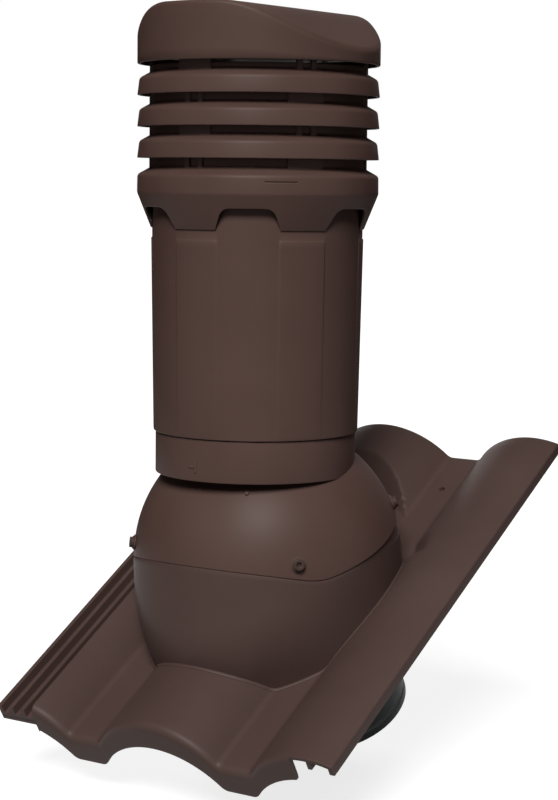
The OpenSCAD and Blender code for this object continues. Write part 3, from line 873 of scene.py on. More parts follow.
@dataclass
class RoofTile:
    """The double-roll roof tile with the ball seat's dome moulded on, in millimetres.

    The tile's own directions are x across, u up the slope from the pipe's axis, and n square to
    the valley face. The row frame follows by turning them about X by the roof's pitch.
    """

    pitch: float = 30.0
    roll_pitch: float = 151.5
    roll_height: float = 31.5
    roll_radius: float = 73.0
    fillet: float = 8.0
    wall: float = 4.0
    eave: float = -156.0
    head: float = 259.0
    left: float = -122.0
    right: float = 176.5
    skirt: float = 25.0
    skirt_end: float = 138.0
    skirt_round: float = 7.0
    side_round: float = 1.4
    head_round: float = 1.2
    # Middle of a hollow's circle from the middle of its roll.
    hollow_x: float = 64.11
    # The two sides of the rib under the right roll, and its foot under the crown.
    rib: tuple[float, float, float] = (153.5, 156.5, 11.5)
    lip_drop: float = 13.0
    strip_left: float = -158.0
    strip_level: float = 14.0
    strip_rise: float = 8.0
    strip_rib: float = 4.0
    strip_pitch: float = 32.0 / 2.6
    recess_u: float = 89.2
    recess_run: float = 12.0
    recess_end: float = 222.0
    recess_radius: float = 100.0
    recess_flare: float = 0.9
    recess_soft: float = 1.6
    nail_x: float = 75.75
    nail_u: float = 212.0
    nail_bore: float = 2.75
    # Lower and upper side up the slope, underside and half width of the nibs.
    nib: tuple[float, float, float, float] = (245.0, 255.0, -20.0, 14.0)
    ball: Ball = Ball()
    barrel: float = 114.5
    seat: float = 112.1
    seat_bore: float = 108.9
    seat_top: float = 62.0
    seat_foot: float = -12.0
    dome_wall: float = 3.2
    # Half width, half length and end radius of the dome's oval foot, and its soft crease.
    foot: tuple[float, float, float] = (114.5, 130.0, 96.0)
    foot_shift: float = 4.0
    foot_soft: float = 12.0
    lean: float = 15.0
    rim_gap: float = 0.3
    bead_size: tuple[float, float] = (2.3, 1.3)
    # The duct's hole: its axis behind the ball's centre and its radius.
    duct: tuple[float, float] = (23.0, 59.5)
    floor_inset: float = 2.4
    boss_circle: float = 76.0
    slot_half: float = 3.3
    slot_reach: tuple[float, float] = (104.9, 118.5)
    # Inner and outer radius, lower and upper level, and tip towards the head of the seal's groove.
    groove: tuple[float, float, float, float, float] = (97.6, 114.2, 49.0, 53.0, 3.5)
    around: int = 300

    def to_row(self, x: np.ndarray, u: np.ndarray, n: np.ndarray) -> np.ndarray:
        """Turns tile directions about X by the pitch: y = u cos - n sin, z = u sin + n cos.

        Args:
            x: Places across the tile.
            u: Places up the slope.
            n: Heights square to the valley face.

        Returns:
            Points in the row frame, the last axis of which is x, y and z.
        """
        angle = math.radians(self.pitch)
        x, u, n = np.broadcast_arrays(x, u, n)
        y = u * math.cos(angle) - n * math.sin(angle)
        return np.stack([x, y, u * math.sin(angle) + n * math.cos(angle)], axis=-1)

    def to_tile(self, points: np.ndarray) -> tuple[np.ndarray, np.ndarray, np.ndarray]:
        """Turns row directions back: u = y cos + z sin, n = z cos - y sin."""
        c, s = math.cos(math.radians(self.pitch)), math.sin(math.radians(self.pitch))
        y, z = points[..., 1], points[..., 2]
        return points[..., 0], y * c + z * s, z * c - y * s

    def wave(self, x: np.ndarray, wall: float = 0.0) -> np.ndarray:
        """Height of the rolls: a crown circle, a hollow circle that touches it, and a flat valley.

        Args:
            x: Places across the tile.
            wall: Depth under the outer skin, square to it.

        Returns:
            Height above the valley face at each place.
        """
        crown, hollow = self.roll_radius - wall, self.fillet + wall
        centre = self.roll_height - self.roll_radius
        hollow_x = math.sqrt((crown + hollow) ** 2 - (self.fillet - centre) ** 2)
        touch_x = hollow_x * crown / (crown + hollow)
        near = np.clip(np.round(x / self.roll_pitch), -1, 1) * self.roll_pitch
        d = np.abs(x - near)
        top = centre + np.sqrt(np.maximum(crown**2 - d**2, 0))
        bend = self.fillet - np.sqrt(np.maximum(hollow**2 - (d - hollow_x) ** 2, 0))
        return np.where(d <= touch_x, top, np.where(d < hollow_x, bend, -wall))

    def surface(self, x: np.ndarray, u: np.ndarray, wall: float = 0.0) -> np.ndarray:
        """Height of the tile's skin: the wave, cut behind the dome by the cone of the water recess.

        The cone's height is its distance from the recess's centre, less the radius, over the flare.

        Args:
            x: Places across the tile.
            u: Places up the slope.
            wall: Depth under the outer skin, square to it.

        Returns:
            Height above the valley face at each place.
        """
        slant = math.sqrt(1 + self.recess_flare**2)
        radius = self.recess_radius + wall * (slant - self.recess_flare)
        reach = np.hypot(x, u - self.recess_u)
        cone = np.maximum((reach - radius) / self.recess_flare, 0.0) - wall
        wave = self.wave(x, wall)
        behind = u > self.recess_u + self.recess_run - wall
        return np.where(behind, smooth_min(wave, cone, self.recess_soft), wave)

    def foot_half(self, x: np.ndarray, grow: float) -> np.ndarray:
        """Half length of the oval foot: an end arc in the middle, a side arc near the edge.

        Args:
            x: Places across the tile.
            grow: Margin by which the oval is larger than the dome's foot.

        Returns:
            Half length up the slope at each place.
        """
        half_x, half_u, end_r = (v + grow for v in self.foot)
        side_r = ((half_u - end_r) ** 2 + half_x**2 - end_r**2) / (2 * (half_x - end_r))
        meet = (half_u - end_r) * side_r / (side_r - end_r)
        meet_x = half_x - side_r + math.sqrt(side_r**2 - meet**2)
        end = half_u - end_r + np.sqrt(np.maximum(end_r**2 - x**2, 0))
        side = np.sqrt(np.maximum(side_r**2 - (np.abs(x) - half_x + side_r) ** 2, 0))
        return np.where(np.abs(x) <= meet_x, end, side)

    def in_foot(self, x: np.ndarray, u: np.ndarray, grow: float) -> np.ndarray:
        """Tells which places of the tile lie inside the oval foot, grown by a margin."""
        inside = np.abs(u - self.foot_u()) < self.foot_half(x, grow)
        return inside & (np.abs(x) < self.foot[0] + grow)

    def ball_u(self) -> float:
        """Distance of the ball's centre up the slope."""
        angle = math.radians(self.pitch)
        y, z = self.ball.centre
        return y * math.cos(angle) + z * math.sin(angle)

    def foot_u(self) -> float:
        """Distance of the foot's middle up the slope, a little towards the eave of the ball."""
        return self.ball_u() - self.foot_shift

    def x_lines(self) -> np.ndarray:
        """Lines across the tile: close together in hollows, at steps and where the foot turns.

        Returns:
            Places across the tile, from left to right.
        """
        crown = self.roll_radius * np.sin(np.radians(np.linspace(-44, 44, 31)))
        hollow = self.hollow_x - self.fillet * np.sin(np.radians(np.linspace(0, 52, 9)))
        roll = np.concatenate([crown, hollow, -hollow])
        cells = [k * self.roll_pitch + roll for k in (-1, 0, 1)]
        foot = (self.foot[0] - 2.4) * np.sin(np.radians(np.linspace(-90, 90, 81)))
        # Lines that crowd each other, a step or an edge are left out; a step gets two of its own.
        lines = np.sort(np.concatenate(cells + [foot]))
        lines = lines[(lines > self.left + 0.4) & (lines < self.right - 0.4)]
        steps = np.array([
            self.left + self.wall, self.skirt_end, *self.rib[:2], self.right - self.wall,
        ])
        clear = np.abs(lines[:, None] - steps[None, :]).min(axis=1) > 0.3
        lines = lines[clear]
        lines = lines[np.concatenate([[True], np.diff(lines) > 0.25])]
        doubled = np.concatenate([steps - 0.01, steps + 0.01])
        edge = np.array([0.0, 0.1, 0.3, 0.65, 1.05, 1.45])
        lines = lines[(lines > self.left + 1.7) & (lines < self.right - 1.7)]
        return np.sort(np.concatenate([lines, doubled, self.left + edge, self.right - edge]))

    def hole(self, x: np.ndarray) -> tuple[np.ndarray, np.ndarray]:
        """Where the plate stops inside the dome's wall: the oval foot and the barrel's cylinder.

        Args:
            x: Lines across the tile.

        Returns:
            The lower and the upper end of the opening on each line.
        """
        u = np.linspace(-90, 190, 1121)
        xx, uu = np.meshgrid(x, u, indexing="ij")
        row = self.to_row(xx, uu, self.surface(xx, uu))
        # The plate runs on into the dome's wall, by 1.5 at the oval and by 2.6 at the barrel.
        inside = self.in_foot(xx, uu, -1.5)
        inside &= np.hypot(row[..., 0], row[..., 1] - self.ball.centre[0]) < self.barrel - 2.6
        some, closed = inside.any(axis=1), self.ball_u() - 2
        low = np.where(some, u[np.argmax(inside, axis=1)], closed)
        high = np.where(some, u[::-1][np.argmax(inside[:, ::-1], axis=1)], closed)
        return low, high

    def underside(self, x: np.ndarray, u: np.ndarray) -> np.ndarray:
        """Height of the underside: the sunk wave, with the left wall, the rib and the lip.

        Args:
            x: Places across the tile.
            u: Places up the slope.

        Returns:
            Height above the valley face at each place.
        """
        left, right, drop = self.rib
        level = self.surface(x, u, self.wall)
        level = np.where(x < self.left + self.wall, self.strip_level - self.wall, level)
        level = np.where((x > left) & (x < right), self.roll_height - drop, level)
        return np.where(x > self.right - self.wall, self.roll_height - self.lip_drop, level)

    def side_drop(self, x: np.ndarray) -> np.ndarray:
        """Drop of the skin at its two side edges: a quarter circle."""
        size = self.side_round
        near = np.clip(size - np.minimum(x - self.left, self.right - x), 0.0, size)
        return size - np.sqrt(np.maximum(size**2 - near**2, 0))

    def front_plate(self) -> Shell:
        """Plate from the eave to the dome: a closed section with the rounded skirt, along x.

        Returns:
            The closed shell.
        """
        x = self.x_lines()
        low, _ = self.hole(x)
        top = self.wave(x) - self.side_drop(x)
        bottom = self.underside(x, np.full_like(x, self.eave))
        has_skirt = x < self.skirt_end
        edge = np.where(has_skirt, self.skirt_round, 1.0)
        foot = np.where(has_skirt, top - self.skirt, bottom)
        t = column(0, 1, 7)
        along = low + (self.eave + edge - low) * t**0.6
        arc = np.radians(np.linspace(0, 90, 9))[1:, None]
        arc_n = top - edge * (1 - np.cos(arc))
        down = foot + 1.0 + (arc_n[-1] - foot - 1.0) * column(0.75, 0, 4)
        inner_n = foot + (bottom - foot) * np.array([0.15, 1.0])[:, None]
        inner_u = self.eave + self.wall
        under = inner_u + (low - self.eave - self.wall) * column(0.1, 1, 7)
        u_rows = [
            along, self.eave + edge * (1 - np.sin(arc)), np.full_like(down, self.eave),
            self.eave + self.wall * np.array([0.12, 0.5, 0.88])[:, None] + 0 * x,
            np.full_like(inner_n, inner_u), under,
        ]
        n_rows = [
            top + 0 * along, arc_n, down, foot + np.array([0.2, 0.0, 0.2])[:, None],
            inner_n, bottom + 0 * under,
        ]
        return self.across(x, np.vstack(u_rows), np.vstack(n_rows))

    def across(self, x: np.ndarray, u: np.ndarray, n: np.ndarray) -> Shell:
        """Closed skin of a section that changes along x: one column of u and n for each x."""
        return capped(self.to_row(x, u, n).transpose(1, 0, 2))

    def back_plate(self) -> Shell:
        """Plate from the dome to the head, with the water recess sunk into it.

        Returns:
            The closed shell.
        """
        x = self.x_lines()
        _, high = self.hole(x)
        cut, end, edge = self.recess_u + self.recess_run, self.recess_end, self.head_round
        begin = np.maximum(high, cut + 0.005)
        front = high + (np.maximum(high, cut - 0.005) - high) * column(0, 1, 3)
        deep = begin + (end - begin) * column(0, 1, 56)
        tail = end + (self.head - edge - end) * column(0.3, 1, 3) + 0 * x
        turn = np.radians([30, 60, 90])[:, None]
        end_u = self.head - edge + edge * np.sin(turn) + 0 * x
        back = np.vstack([tail[::-1], deep[::-1], front[::-1]])
        top_u = np.vstack([front, deep, tail])
        top_n = self.surface(x, top_u)
        top_n[:3] = self.wave(x)
        top_n -= self.side_drop(x)
        end_n = top_n[-1] - edge * (1 - np.cos(turn))
        low_n = self.underside(x, back)
        low_n[-3:] = self.underside(x, np.zeros_like(x))
        u_rows = [top_u, end_u, np.full((1, len(x)), self.head), back]
        return self.across(x, np.vstack(u_rows), np.vstack([top_n, end_n, low_n[:1], low_n]))

    def along(self, section: np.ndarray, ends: Sequence[float]) -> Shell:
        """Closed skin of a section in x and n that is carried up the slope through given places."""
        places = np.array(ends)[:, None]
        return capped(self.to_row(section[None, :, 0], places, section[None, :, 1]))

    def interlock(self) -> list[Shell]:
        """Strip with three ribs on the left edge: one rounded section carried up the slope.

        Returns:
            The strip and the bar under its eave end.
        """
        floor, low = self.strip_level, self.strip_level - self.wall
        tall, wide, root = floor + self.strip_rise, self.strip_rib, self.left + 0.6
        ribs = self.strip_left + np.arange(3) * self.strip_pitch
        corners = [[root, low], [self.strip_left, low], [self.strip_left, tall]]
        corners += [[ribs[0] + wide, tall], [ribs[0] + wide, floor]]
        for left in ribs[1:]:
            right = left + wide
            corners += [[left, floor], [left, tall], [right, tall], [right, floor]]
        corners += [[root, floor]]
        ends = (self.eave, self.eave + 0.6, self.head - 0.6, self.head)
        strip = self.along(rounded(np.array(corners), 0.9), ends)
        bar = np.array([
            [self.strip_left, 7.0], [root, 7.0], [root, low + 1], [self.strip_left, low + 1],
        ])
        return [strip, self.along(rounded(bar, 0.8), (self.eave, self.eave + self.wall))]

    def nibs(self) -> list[Shell]:
        """Two hanging nibs under the head: a rounded section in u and n, carried across.

        Returns:
            One closed shell for each nib.
        """
        low, high, foot, half = self.nib
        section = rounded(np.array([[low, -3.0], [low, foot], [high, foot], [high, -3.0]]), 1.0)
        made = []
        for side in (-1, 1):
            ends = side * self.nail_x + np.array([-half, half])
            grid = self.to_row(ends[:, None], section[None, :, 0], section[None, :, 1])
            made.append(capped(grid))
        return made

    def nail_bores(self) -> list[Shell]:
        """Two cylinders that cut the nail holes, carried square to the tile."""
        turn, levels = full_turn(32), np.array([[-9.0], [5.0]])
        x, u = self.nail_bore * np.cos(turn), self.nail_u + self.nail_bore * np.sin(turn)
        return [capped(self.to_row(side * self.nail_x + x, u, levels)) for side in (-1, 1)]

    def wall_radius(
        self, azimuth: np.ndarray, z: np.ndarray, grow: float, barrel: float
    ) -> np.ndarray:
        """Distance of the dome's wall from the ball's upright axis at a height.

        The oval foot stands square to the tile. Its distance is found by halving an interval until
        the point lies on the oval, and the lower of it and the barrel's radius is the wall.

        Args:
            azimuth: Angles from the eave side, in radians.
            z: Heights above the ball's centre, of a shape that fits the azimuths.
            grow: Growth of the oval.
            barrel: Radius of the upright barrel.

        Returns:
            The distances, in the shape of z.
        """
        azimuth, z = np.broadcast_arrays(azimuth, z)

        def inside(middle: np.ndarray) -> np.ndarray:
            """Where a point at this distance still lies inside the oval."""
            x, u, _ = self.to_tile(self.ball.place(azimuth, middle, z))
            return self.in_foot(x, u, grow)

        low, _ = halve(np.full(z.shape, 40.0), np.full(z.shape, 230.0), inside)
        return smooth_min(low, np.full(z.shape, barrel), self.foot_soft)

    def level_on_wall(
        self, azimuth: np.ndarray, grow: float, barrel: float, floor: Optional[float]
    ) -> np.ndarray:
        """Height at which the dome's wall meets the tile's skin, or a level n, by halving.

        Args:
            azimuth: Angles from the eave side, in radians.
            grow: Growth of the oval.
            barrel: Radius of the barrel.
            floor: Level square to the tile, or None for the tile's skin.

        Returns:
            Heights above the ball's centre.
        """
        def under(z: np.ndarray) -> np.ndarray:
            """Where the wall at height z is still under the skin or the level."""
            radius = self.wall_radius(azimuth, z, grow, barrel)
            x, u, n = self.to_tile(self.ball.place(azimuth, radius, z))
            return n < (self.surface(x, u) if floor is None else floor)

        shape = azimuth.shape
        low, high = halve(np.full(shape, -150.0), np.full(shape, 60.0), under)
        return (low + high) / 2

    def rim_height(self, y: np.ndarray) -> np.ndarray:
        """Height of the barrel's upper edge: the lowest of the shell's edge at three leans."""
        leans = (0.0, self.lean / 2, self.lean)
        return np.min([self.ball.rim.level(y, lean, self.rim_gap) for lean in leans], axis=0)

    def dome(self) -> Shell:
        """Dome: outer wall, ledge, ball seat, upper edge and inner wall as one closed section,
        worked out for every azimuth round the ball.

        Returns:
            The closed shell.
        """
        azimuth = full_turn(self.around)
        thick, step = self.dome_wall, self.seat_foot
        foot = self.level_on_wall(azimuth, 0.0, self.barrel, -self.wall)
        rim = self.rim_height(-self.barrel * np.cos(azimuth))
        outer_z = foot + (rim - 0.5 - foot) * column(0, 1, 30)
        outer_r = self.wall_radius(azimuth, outer_z, 0.0, self.barrel)
        ledge_z = rim + np.array([-0.15, 0.0, 0.0])[:, None]
        ledge_r = [outer_r[-1] - 0.15, outer_r[-1] - 0.5, np.sqrt(self.seat**2 - rim**2)]
        seat_z = rim + (self.seat_top - 0.4 - rim) * column(0.03, 1, 34)
        seat_r = np.sqrt(self.seat**2 - seat_z**2)
        top_r = math.sqrt(self.seat**2 - self.seat_top**2)
        bore_r = math.sqrt(self.seat_bore**2 - self.seat_top**2)
        lid_z = np.full((2, self.around), self.seat_top)
        lid_r = np.array([[top_r - 0.5], [bore_r]]) + 0 * lid_z
        in_z = self.seat_top + (step - self.seat_top) * column(0.06, 1, 16)
        in_z = in_z + 0 * azimuth
        in_r = np.sqrt(self.seat_bore**2 - in_z**2)
        deep = self.level_on_wall(azimuth, -thick, self.barrel - thick, -self.wall)
        step_z = np.minimum(step + (deep - step) * column(0, 1, 16), step)
        step_r = self.wall_radius(azimuth, step_z, -thick, self.barrel - thick)
        z = np.vstack([outer_z, ledge_z, seat_z, lid_z, in_z, step_z])
        r = np.vstack([outer_r, ledge_r, seat_r, lid_r, in_r, step_r])
        return skin(self.ball.place(azimuth, r, z), loop=True)

    def foot_curve(self, inset: float, floor: Optional[float]) -> tuple[np.ndarray, np.ndarray]:
        """Curve on which the dome's wall, sunk by an inset, meets the skin or a level.

        Args:
            inset: Depth under the dome's outer wall.
            floor: Level square to the tile, or None for the tile's skin.

        Returns:
            The curve's x and u.
        """
        azimuth, barrel = full_turn(self.around), self.barrel - inset
        z = self.level_on_wall(azimuth, -inset, barrel, floor)
        radius = self.wall_radius(azimuth, z, -inset, barrel)
        return self.to_tile(self.ball.place(azimuth, radius, z))[:2]

    def bead(self) -> Shell:
        """Raised ledge round the foot: a low rounded section carried along the foot's curve.

        Returns:
            The closed shell.
        """
        x, u = self.foot_curve(0.0, None)
        along_x, along_u = np.roll(x, -1) - np.roll(x, 1), np.roll(u, -1) - np.roll(u, 1)
        size = np.hypot(along_x, along_u)
        out_x, out_u = along_u / size, -along_x / size
        flip = np.sign((out_x * x + out_u * (u - self.ball_u())).sum())
        wide, tall = self.bead_size
        swing = np.radians(np.linspace(90, -10, 11))
        reach = np.concatenate([[-1.5], wide * np.cos(swing), [-1.5]])[:, None]
        lift = np.concatenate([[tall], tall * np.sin(swing), [-1.0]])[:, None]
        px, pu = x + flip * out_x * reach, u + flip * out_u * reach
        cone = (np.hypot(px, pu - self.recess_u) - self.recess_radius) / self.recess_flare
        sunk = np.maximum(np.minimum(self.wave(px), cone - 2.5), 0.0)
        low = np.where(pu > self.recess_u + self.recess_run, sunk, self.wave(px))
        return skin(self.to_row(px, pu, low + lift), loop=True)

    def floor(self) -> Shell:
        """Floor inside the dome: a plate from the duct's round hole out into the dome's wall.

        Returns:
            The closed shell.
        """
        x, u = self.foot_curve(self.floor_inset, -self.wall)
        hole_u, bore = self.ball_u() + self.duct[0], self.duct[1]
        turn = np.arctan2(u - hole_u, x)
        hole_x, hole_y = bore * np.cos(turn), hole_u + bore * np.sin(turn)
        share = np.array([0.0, 0.5, 1.0, 1.0, 0.5, 0.0])[:, None]
        level = np.array([0, 0, 0, -self.wall, -self.wall, -self.wall])[:, None]
        grid = self.to_row(hole_x + (x - hole_x) * share, hole_y + (u - hole_y) * share, level)
        return skin(grid, loop=True)

    def bosses(self) -> list[Shell]:
        """Four blind screw bosses on the floor: a stepped section turned about the screw's axis.

        Returns:
            One closed shell for each boss.
        """
        turn = full_turn(32)
        radius = np.array([5.2, 5.0, 4.6, 1.9, 1.9, 5.2])[:, None]
        level = np.array([-2.0, 7.6, 8.0, 8.0, -2.0, -2.0])[:, None]
        hole_u = self.ball_u() + self.duct[0]
        made = []
        for angle in np.radians([45, 135, 225, 315]):
            x = self.boss_circle * math.cos(angle) + radius * np.cos(turn)
            u = hole_u + self.boss_circle * math.sin(angle) + radius * np.sin(turn)
            made.append(skin(self.to_row(x, u, level), loop=True))
        return made

    def screw_slots(self) -> list[Shell]:
        """Slots for the clamping screws, each swept about the ball's level axis by the lean.

        Returns:
            One closed shell for each slot.
        """
        half, (near, far) = self.slot_half, self.slot_reach
        reach = np.array([near, far, far, near])[None, :, None]
        width = np.array([-half, -half, half, half])[None, :, None]
        made = []
        for way in self.ball.screw_ways():
            end = math.degrees(math.asin(half / (self.seat_bore * math.hypot(way[1], way[2]))))
            turn = np.radians(np.linspace(-self.lean - end, end, 25))
            y = way[1] * np.cos(turn) - way[2] * np.sin(turn)
            z = way[1] * np.sin(turn) + way[2] * np.cos(turn)
            ray = np.stack([0 * turn + way[0], y, z], axis=-1)
            across = np.array([1.0, 0, 0]) - ray[:, :1] * ray
            across /= np.linalg.norm(across, axis=1, keepdims=True)
            grid = ray[:, None, :] * reach + across[:, None, :] * width
            made.append(capped(grid + self.ball.middle()))
        return made

    def seal_groove(self) -> Shell:
        """Groove of the ball seal: a square section turned round an axis tipped to the head.

        Returns:
            The closed shell.
        """
        inner, outer, low, high, tip = self.groove
        section = np.array([[inner, low], [outer, low], [outer, high], [inner, high]])
        ring = upright(section[:, :1], full_turn(144), section[:, 1:])
        x, y, z = np.moveaxis(ring, -1, 0)
        c, s = math.cos(math.radians(tip)), math.sin(math.radians(tip))
        grid = np.stack([x, y * c - z * s, y * s + z * c], axis=-1)
        return skin(grid + self.ball.middle(), loop=True)

    def build(self, finishes: Finishes) -> None:
        """Builds, dresses and places the tile's pieces, which stand for the CAD tile.

        Args:
            finishes: The part's finishes.
        """
        plate = make_piece("tile_plate", [self.front_plate(), self.back_plate()], 30.0)
        carve(plate, self.nail_bores(), 30.0)
        dome = make_piece("tile_dome", [self.dome()])
        carve(dome, [*self.screw_slots(), self.seal_groove()])
        others = [
            make_piece("tile_foot_bead", [self.bead()], 60.0),
            make_piece("tile_dome_floor", [self.floor(), *self.bosses()]),
            make_piece("tile_interlock_strip", self.interlock()),
            make_piece("tile_hanging_nibs", self.nibs()),
        ]
        for piece in (plate, dome, *others):
            hand_over(piece, finishes, Slot.TILE, "tile_base", Body.ROOF)


# ---------------------------------------------------------------- pipe, louvres and hood


@dataclass
class SleevePipe:
    """The straight outer pipe: a slightly tapered wall with six soft-edged raised panels."""

    foot: float = 172.0
    top: float = 371.95
    taper_top: float = 338.7
    foot_radius: float = 85.3
    head_radius: float = 87.3
    wall: float = 2.4
    panel: float = 27.0
    panel_foot: float = 173.0
    panel_head: float = 332.4
    proud: tuple[float, float] = (0.15, 1.0)
    soft: float = 1.0
    # Angle from one panel's middle to the next, in degrees.
    panel_pitch: float = 60.0
    end_round: float = 0.4
    around: int = 720

    def base(self, height: np.ndarray) -> np.ndarray:
        """Outer radius without the panels: it grows evenly with the height up to the collar."""
        share = np.clip((height - self.foot) / (self.taper_top - self.foot), 0.0, 1.0)
        return self.foot_radius + (self.head_radius - self.foot_radius) * share

    def step(self, distance: np.ndarray) -> np.ndarray:
        """Soft step from 0 to 1 over the edge's width: 3 t^2 - 2 t^3."""
        t = np.clip(distance / self.soft, 0.0, 1.0)
        return t * t * (3 - 2 * t)

    def wall_surface(self) -> Shell:
        """Outer face up, inner face down: r = base + proud * step to the sides * step to the ends.

        The panels stand out most at the head and fade evenly towards the foot.

        Returns:
            The closed shell.
        """
        turn, size = full_turn(self.around), self.end_round
        edge = self.soft * np.linspace(0, 1, 5)
        height = np.concatenate([
            [self.foot, self.foot + size], self.panel_foot + edge,
            np.linspace(self.foot + 8, self.panel_head - 6, 12), self.panel_head - edge[::-1],
            [self.taper_top, self.top - size, self.top],
        ])[:, None]
        off = np.degrees(turn) % self.panel_pitch
        off = np.minimum(off, self.panel_pitch - off)
        sideways = np.radians(self.panel / 2 - off) * self.head_radius
        ends = self.step(height - self.panel_foot) * self.step(self.panel_head - height)
        faded, full = self.proud
        proud = faded + (full - faded) * (height - self.foot) / (self.top - self.foot)
        outer = self.base(height) + proud * (self.step(sideways) * ends)
        outer[[0, -1]] -= size
        inner_height = np.array([self.top, self.taper_top, self.foot])[:, None]
        inner = self.base(inner_height) - self.wall + 0 * turn
        radius = np.concatenate([outer, inner])
        level = np.concatenate([height, inner_height])
        return skin(upright(radius, turn - np.pi / 2, level), loop=True)

    def build(self, finishes: Finishes) -> None:
        """Builds and dresses the pipe, which stands for the CAD sleeve.

        Args:
            finishes: The part's finishes.
        """
        pipe = make_piece("sleeve_pipe_skin", [self.wall_surface()])
        hand_over(pipe, finishes, Slot.PIPE, "sleeve_pipe", Body.PIPE)


@dataclass
class RainHood:
    """The roof-shaped hood: a flat crown, round shoulders and sloping flanks on a round plan."""

    radius: float = 100.0
    foot: float = 473.7
    height: float = 46.0
    side: float = 11.0
    shoulder: float = 70.0
    slope: float = 0.637
    wall: float = 2.5
    edge: float = 3.6
    # Middle and half thickness of the ribs, and their foot over the rim.
    rib: tuple[float, float, float] = (20.0, 1.0, 9.3)
    around: int = 240

    def roof(self, x: np.ndarray) -> np.ndarray:
        """Height of the roof across the ridge: flat, then an arc, then a straight slope.

        Args:
            x: Distances from the ridge's middle line.

        Returns:
            Heights above the hood's rim.
        """
        angle = math.atan(self.slope)
        meet = self.radius - (self.height - self.side) / self.slope
        arc_x = meet - self.shoulder * math.tan(angle / 2)
        touch_x = arc_x + self.shoulder * math.sin(angle)
        d = np.abs(x)
        arc = np.sqrt(np.maximum(self.shoulder**2 - (d - arc_x) ** 2, 0))
        bend = self.height - self.shoulder + arc
        touch_z = self.height - self.shoulder * (1 - math.cos(angle))
        flank = touch_z - (d - touch_x) * self.slope
        return np.where(d < arc_x, self.height, np.where(d < touch_x, bend, flank))

    def steepness(self, x: np.ndarray) -> np.ndarray:
        """Length of the roof's slope over its level run, by a central difference."""
        rate = (self.roof(x + 0.05) - self.roof(x - 0.05)) / 0.1
        return np.sqrt(1 + rate**2)

    def shell(self) -> Shell:
        """Skin of the hood: the roof out to the edge's rounding, a quarter turn down, the side
        wall, the rim, and back inside at the wall's thickness.

        Returns:
            The closed shell.
        """
        turn = full_turn(self.around)
        c = np.cos(turn)
        flat, bore = self.radius - self.edge, self.radius - self.wall
        out = flat * column(0.04, 1, 34) + 0 * turn
        out_z = self.roof(out * c)
        bend = np.radians(np.linspace(0, 90, 9))[1:, None]
        bend_r = flat + self.edge * np.sin(bend) + 0 * turn
        bend_z = self.roof(bend_r * c) - self.edge * (1 - np.cos(bend))
        wall_z = 0.5 + (bend_z[-1] - 0.5) * column(0.8, 0, 5)
        wall_r = np.full_like(wall_z, self.radius)
        rim_r = np.array([[self.radius - 0.5], [bore + 0.3]]) + 0 * turn
        up_z = self.ceiling(bore * c) * np.array([[0.05], [0.97]])
        up_r = np.full_like(up_z, bore)
        back = (bore - 0.2) * column(1, 0.05, 18) + 0 * turn
        r = np.vstack([out, bend_r, wall_r, rim_r, up_r, back])
        z = np.vstack([out_z, bend_z, wall_z, 0 * rim_r, up_z, self.ceiling(back * c)])
        return skin(upright(r, turn, z + self.foot), start=End.POLE, end=End.POLE)

    def ceiling(self, x: np.ndarray) -> np.ndarray:
        """Height of the roof's inner face: the roof less the wall over the slope's level run."""
        return self.roof(x) - self.wall * self.steepness(x)

    def ribs(self) -> list[Shell]:
        """Three ribs between the liner and the roof: thin plates from just over the liner.

        Returns:
            One closed shell for each rib.
        """
        at, half, rise = self.rib
        low, high = self.foot + rise, self.foot + self.height - self.wall / 2
        reach = math.sqrt((self.radius - self.wall / 2) ** 2 - at**2)
        made = []
        for x0, x1, y0, y1 in (
            (-at - half, -at + half, -reach, reach),
            (at - half, at + half, -reach, reach),
            (-at, at, -half, half),
        ):
            ring = np.array([[x0, y0], [x1, y0], [x1, y1], [x0, y1]])
            made.append(capped(np.stack([np.column_stack([ring, [z] * 4]) for z in (low, high)])))
        return made

    def build(self, finishes: Finishes) -> None:
        """Builds and dresses the hood, which stands for the CAD hood.

        Args:
            finishes: The part's finishes.
        """
        hood = make_piece("rain_hood_skin", [self.shell(), *self.ribs()], 50.0)
        hand_over(hood, finishes, Slot.PIPE, "rain_hood", Body.PIPE)


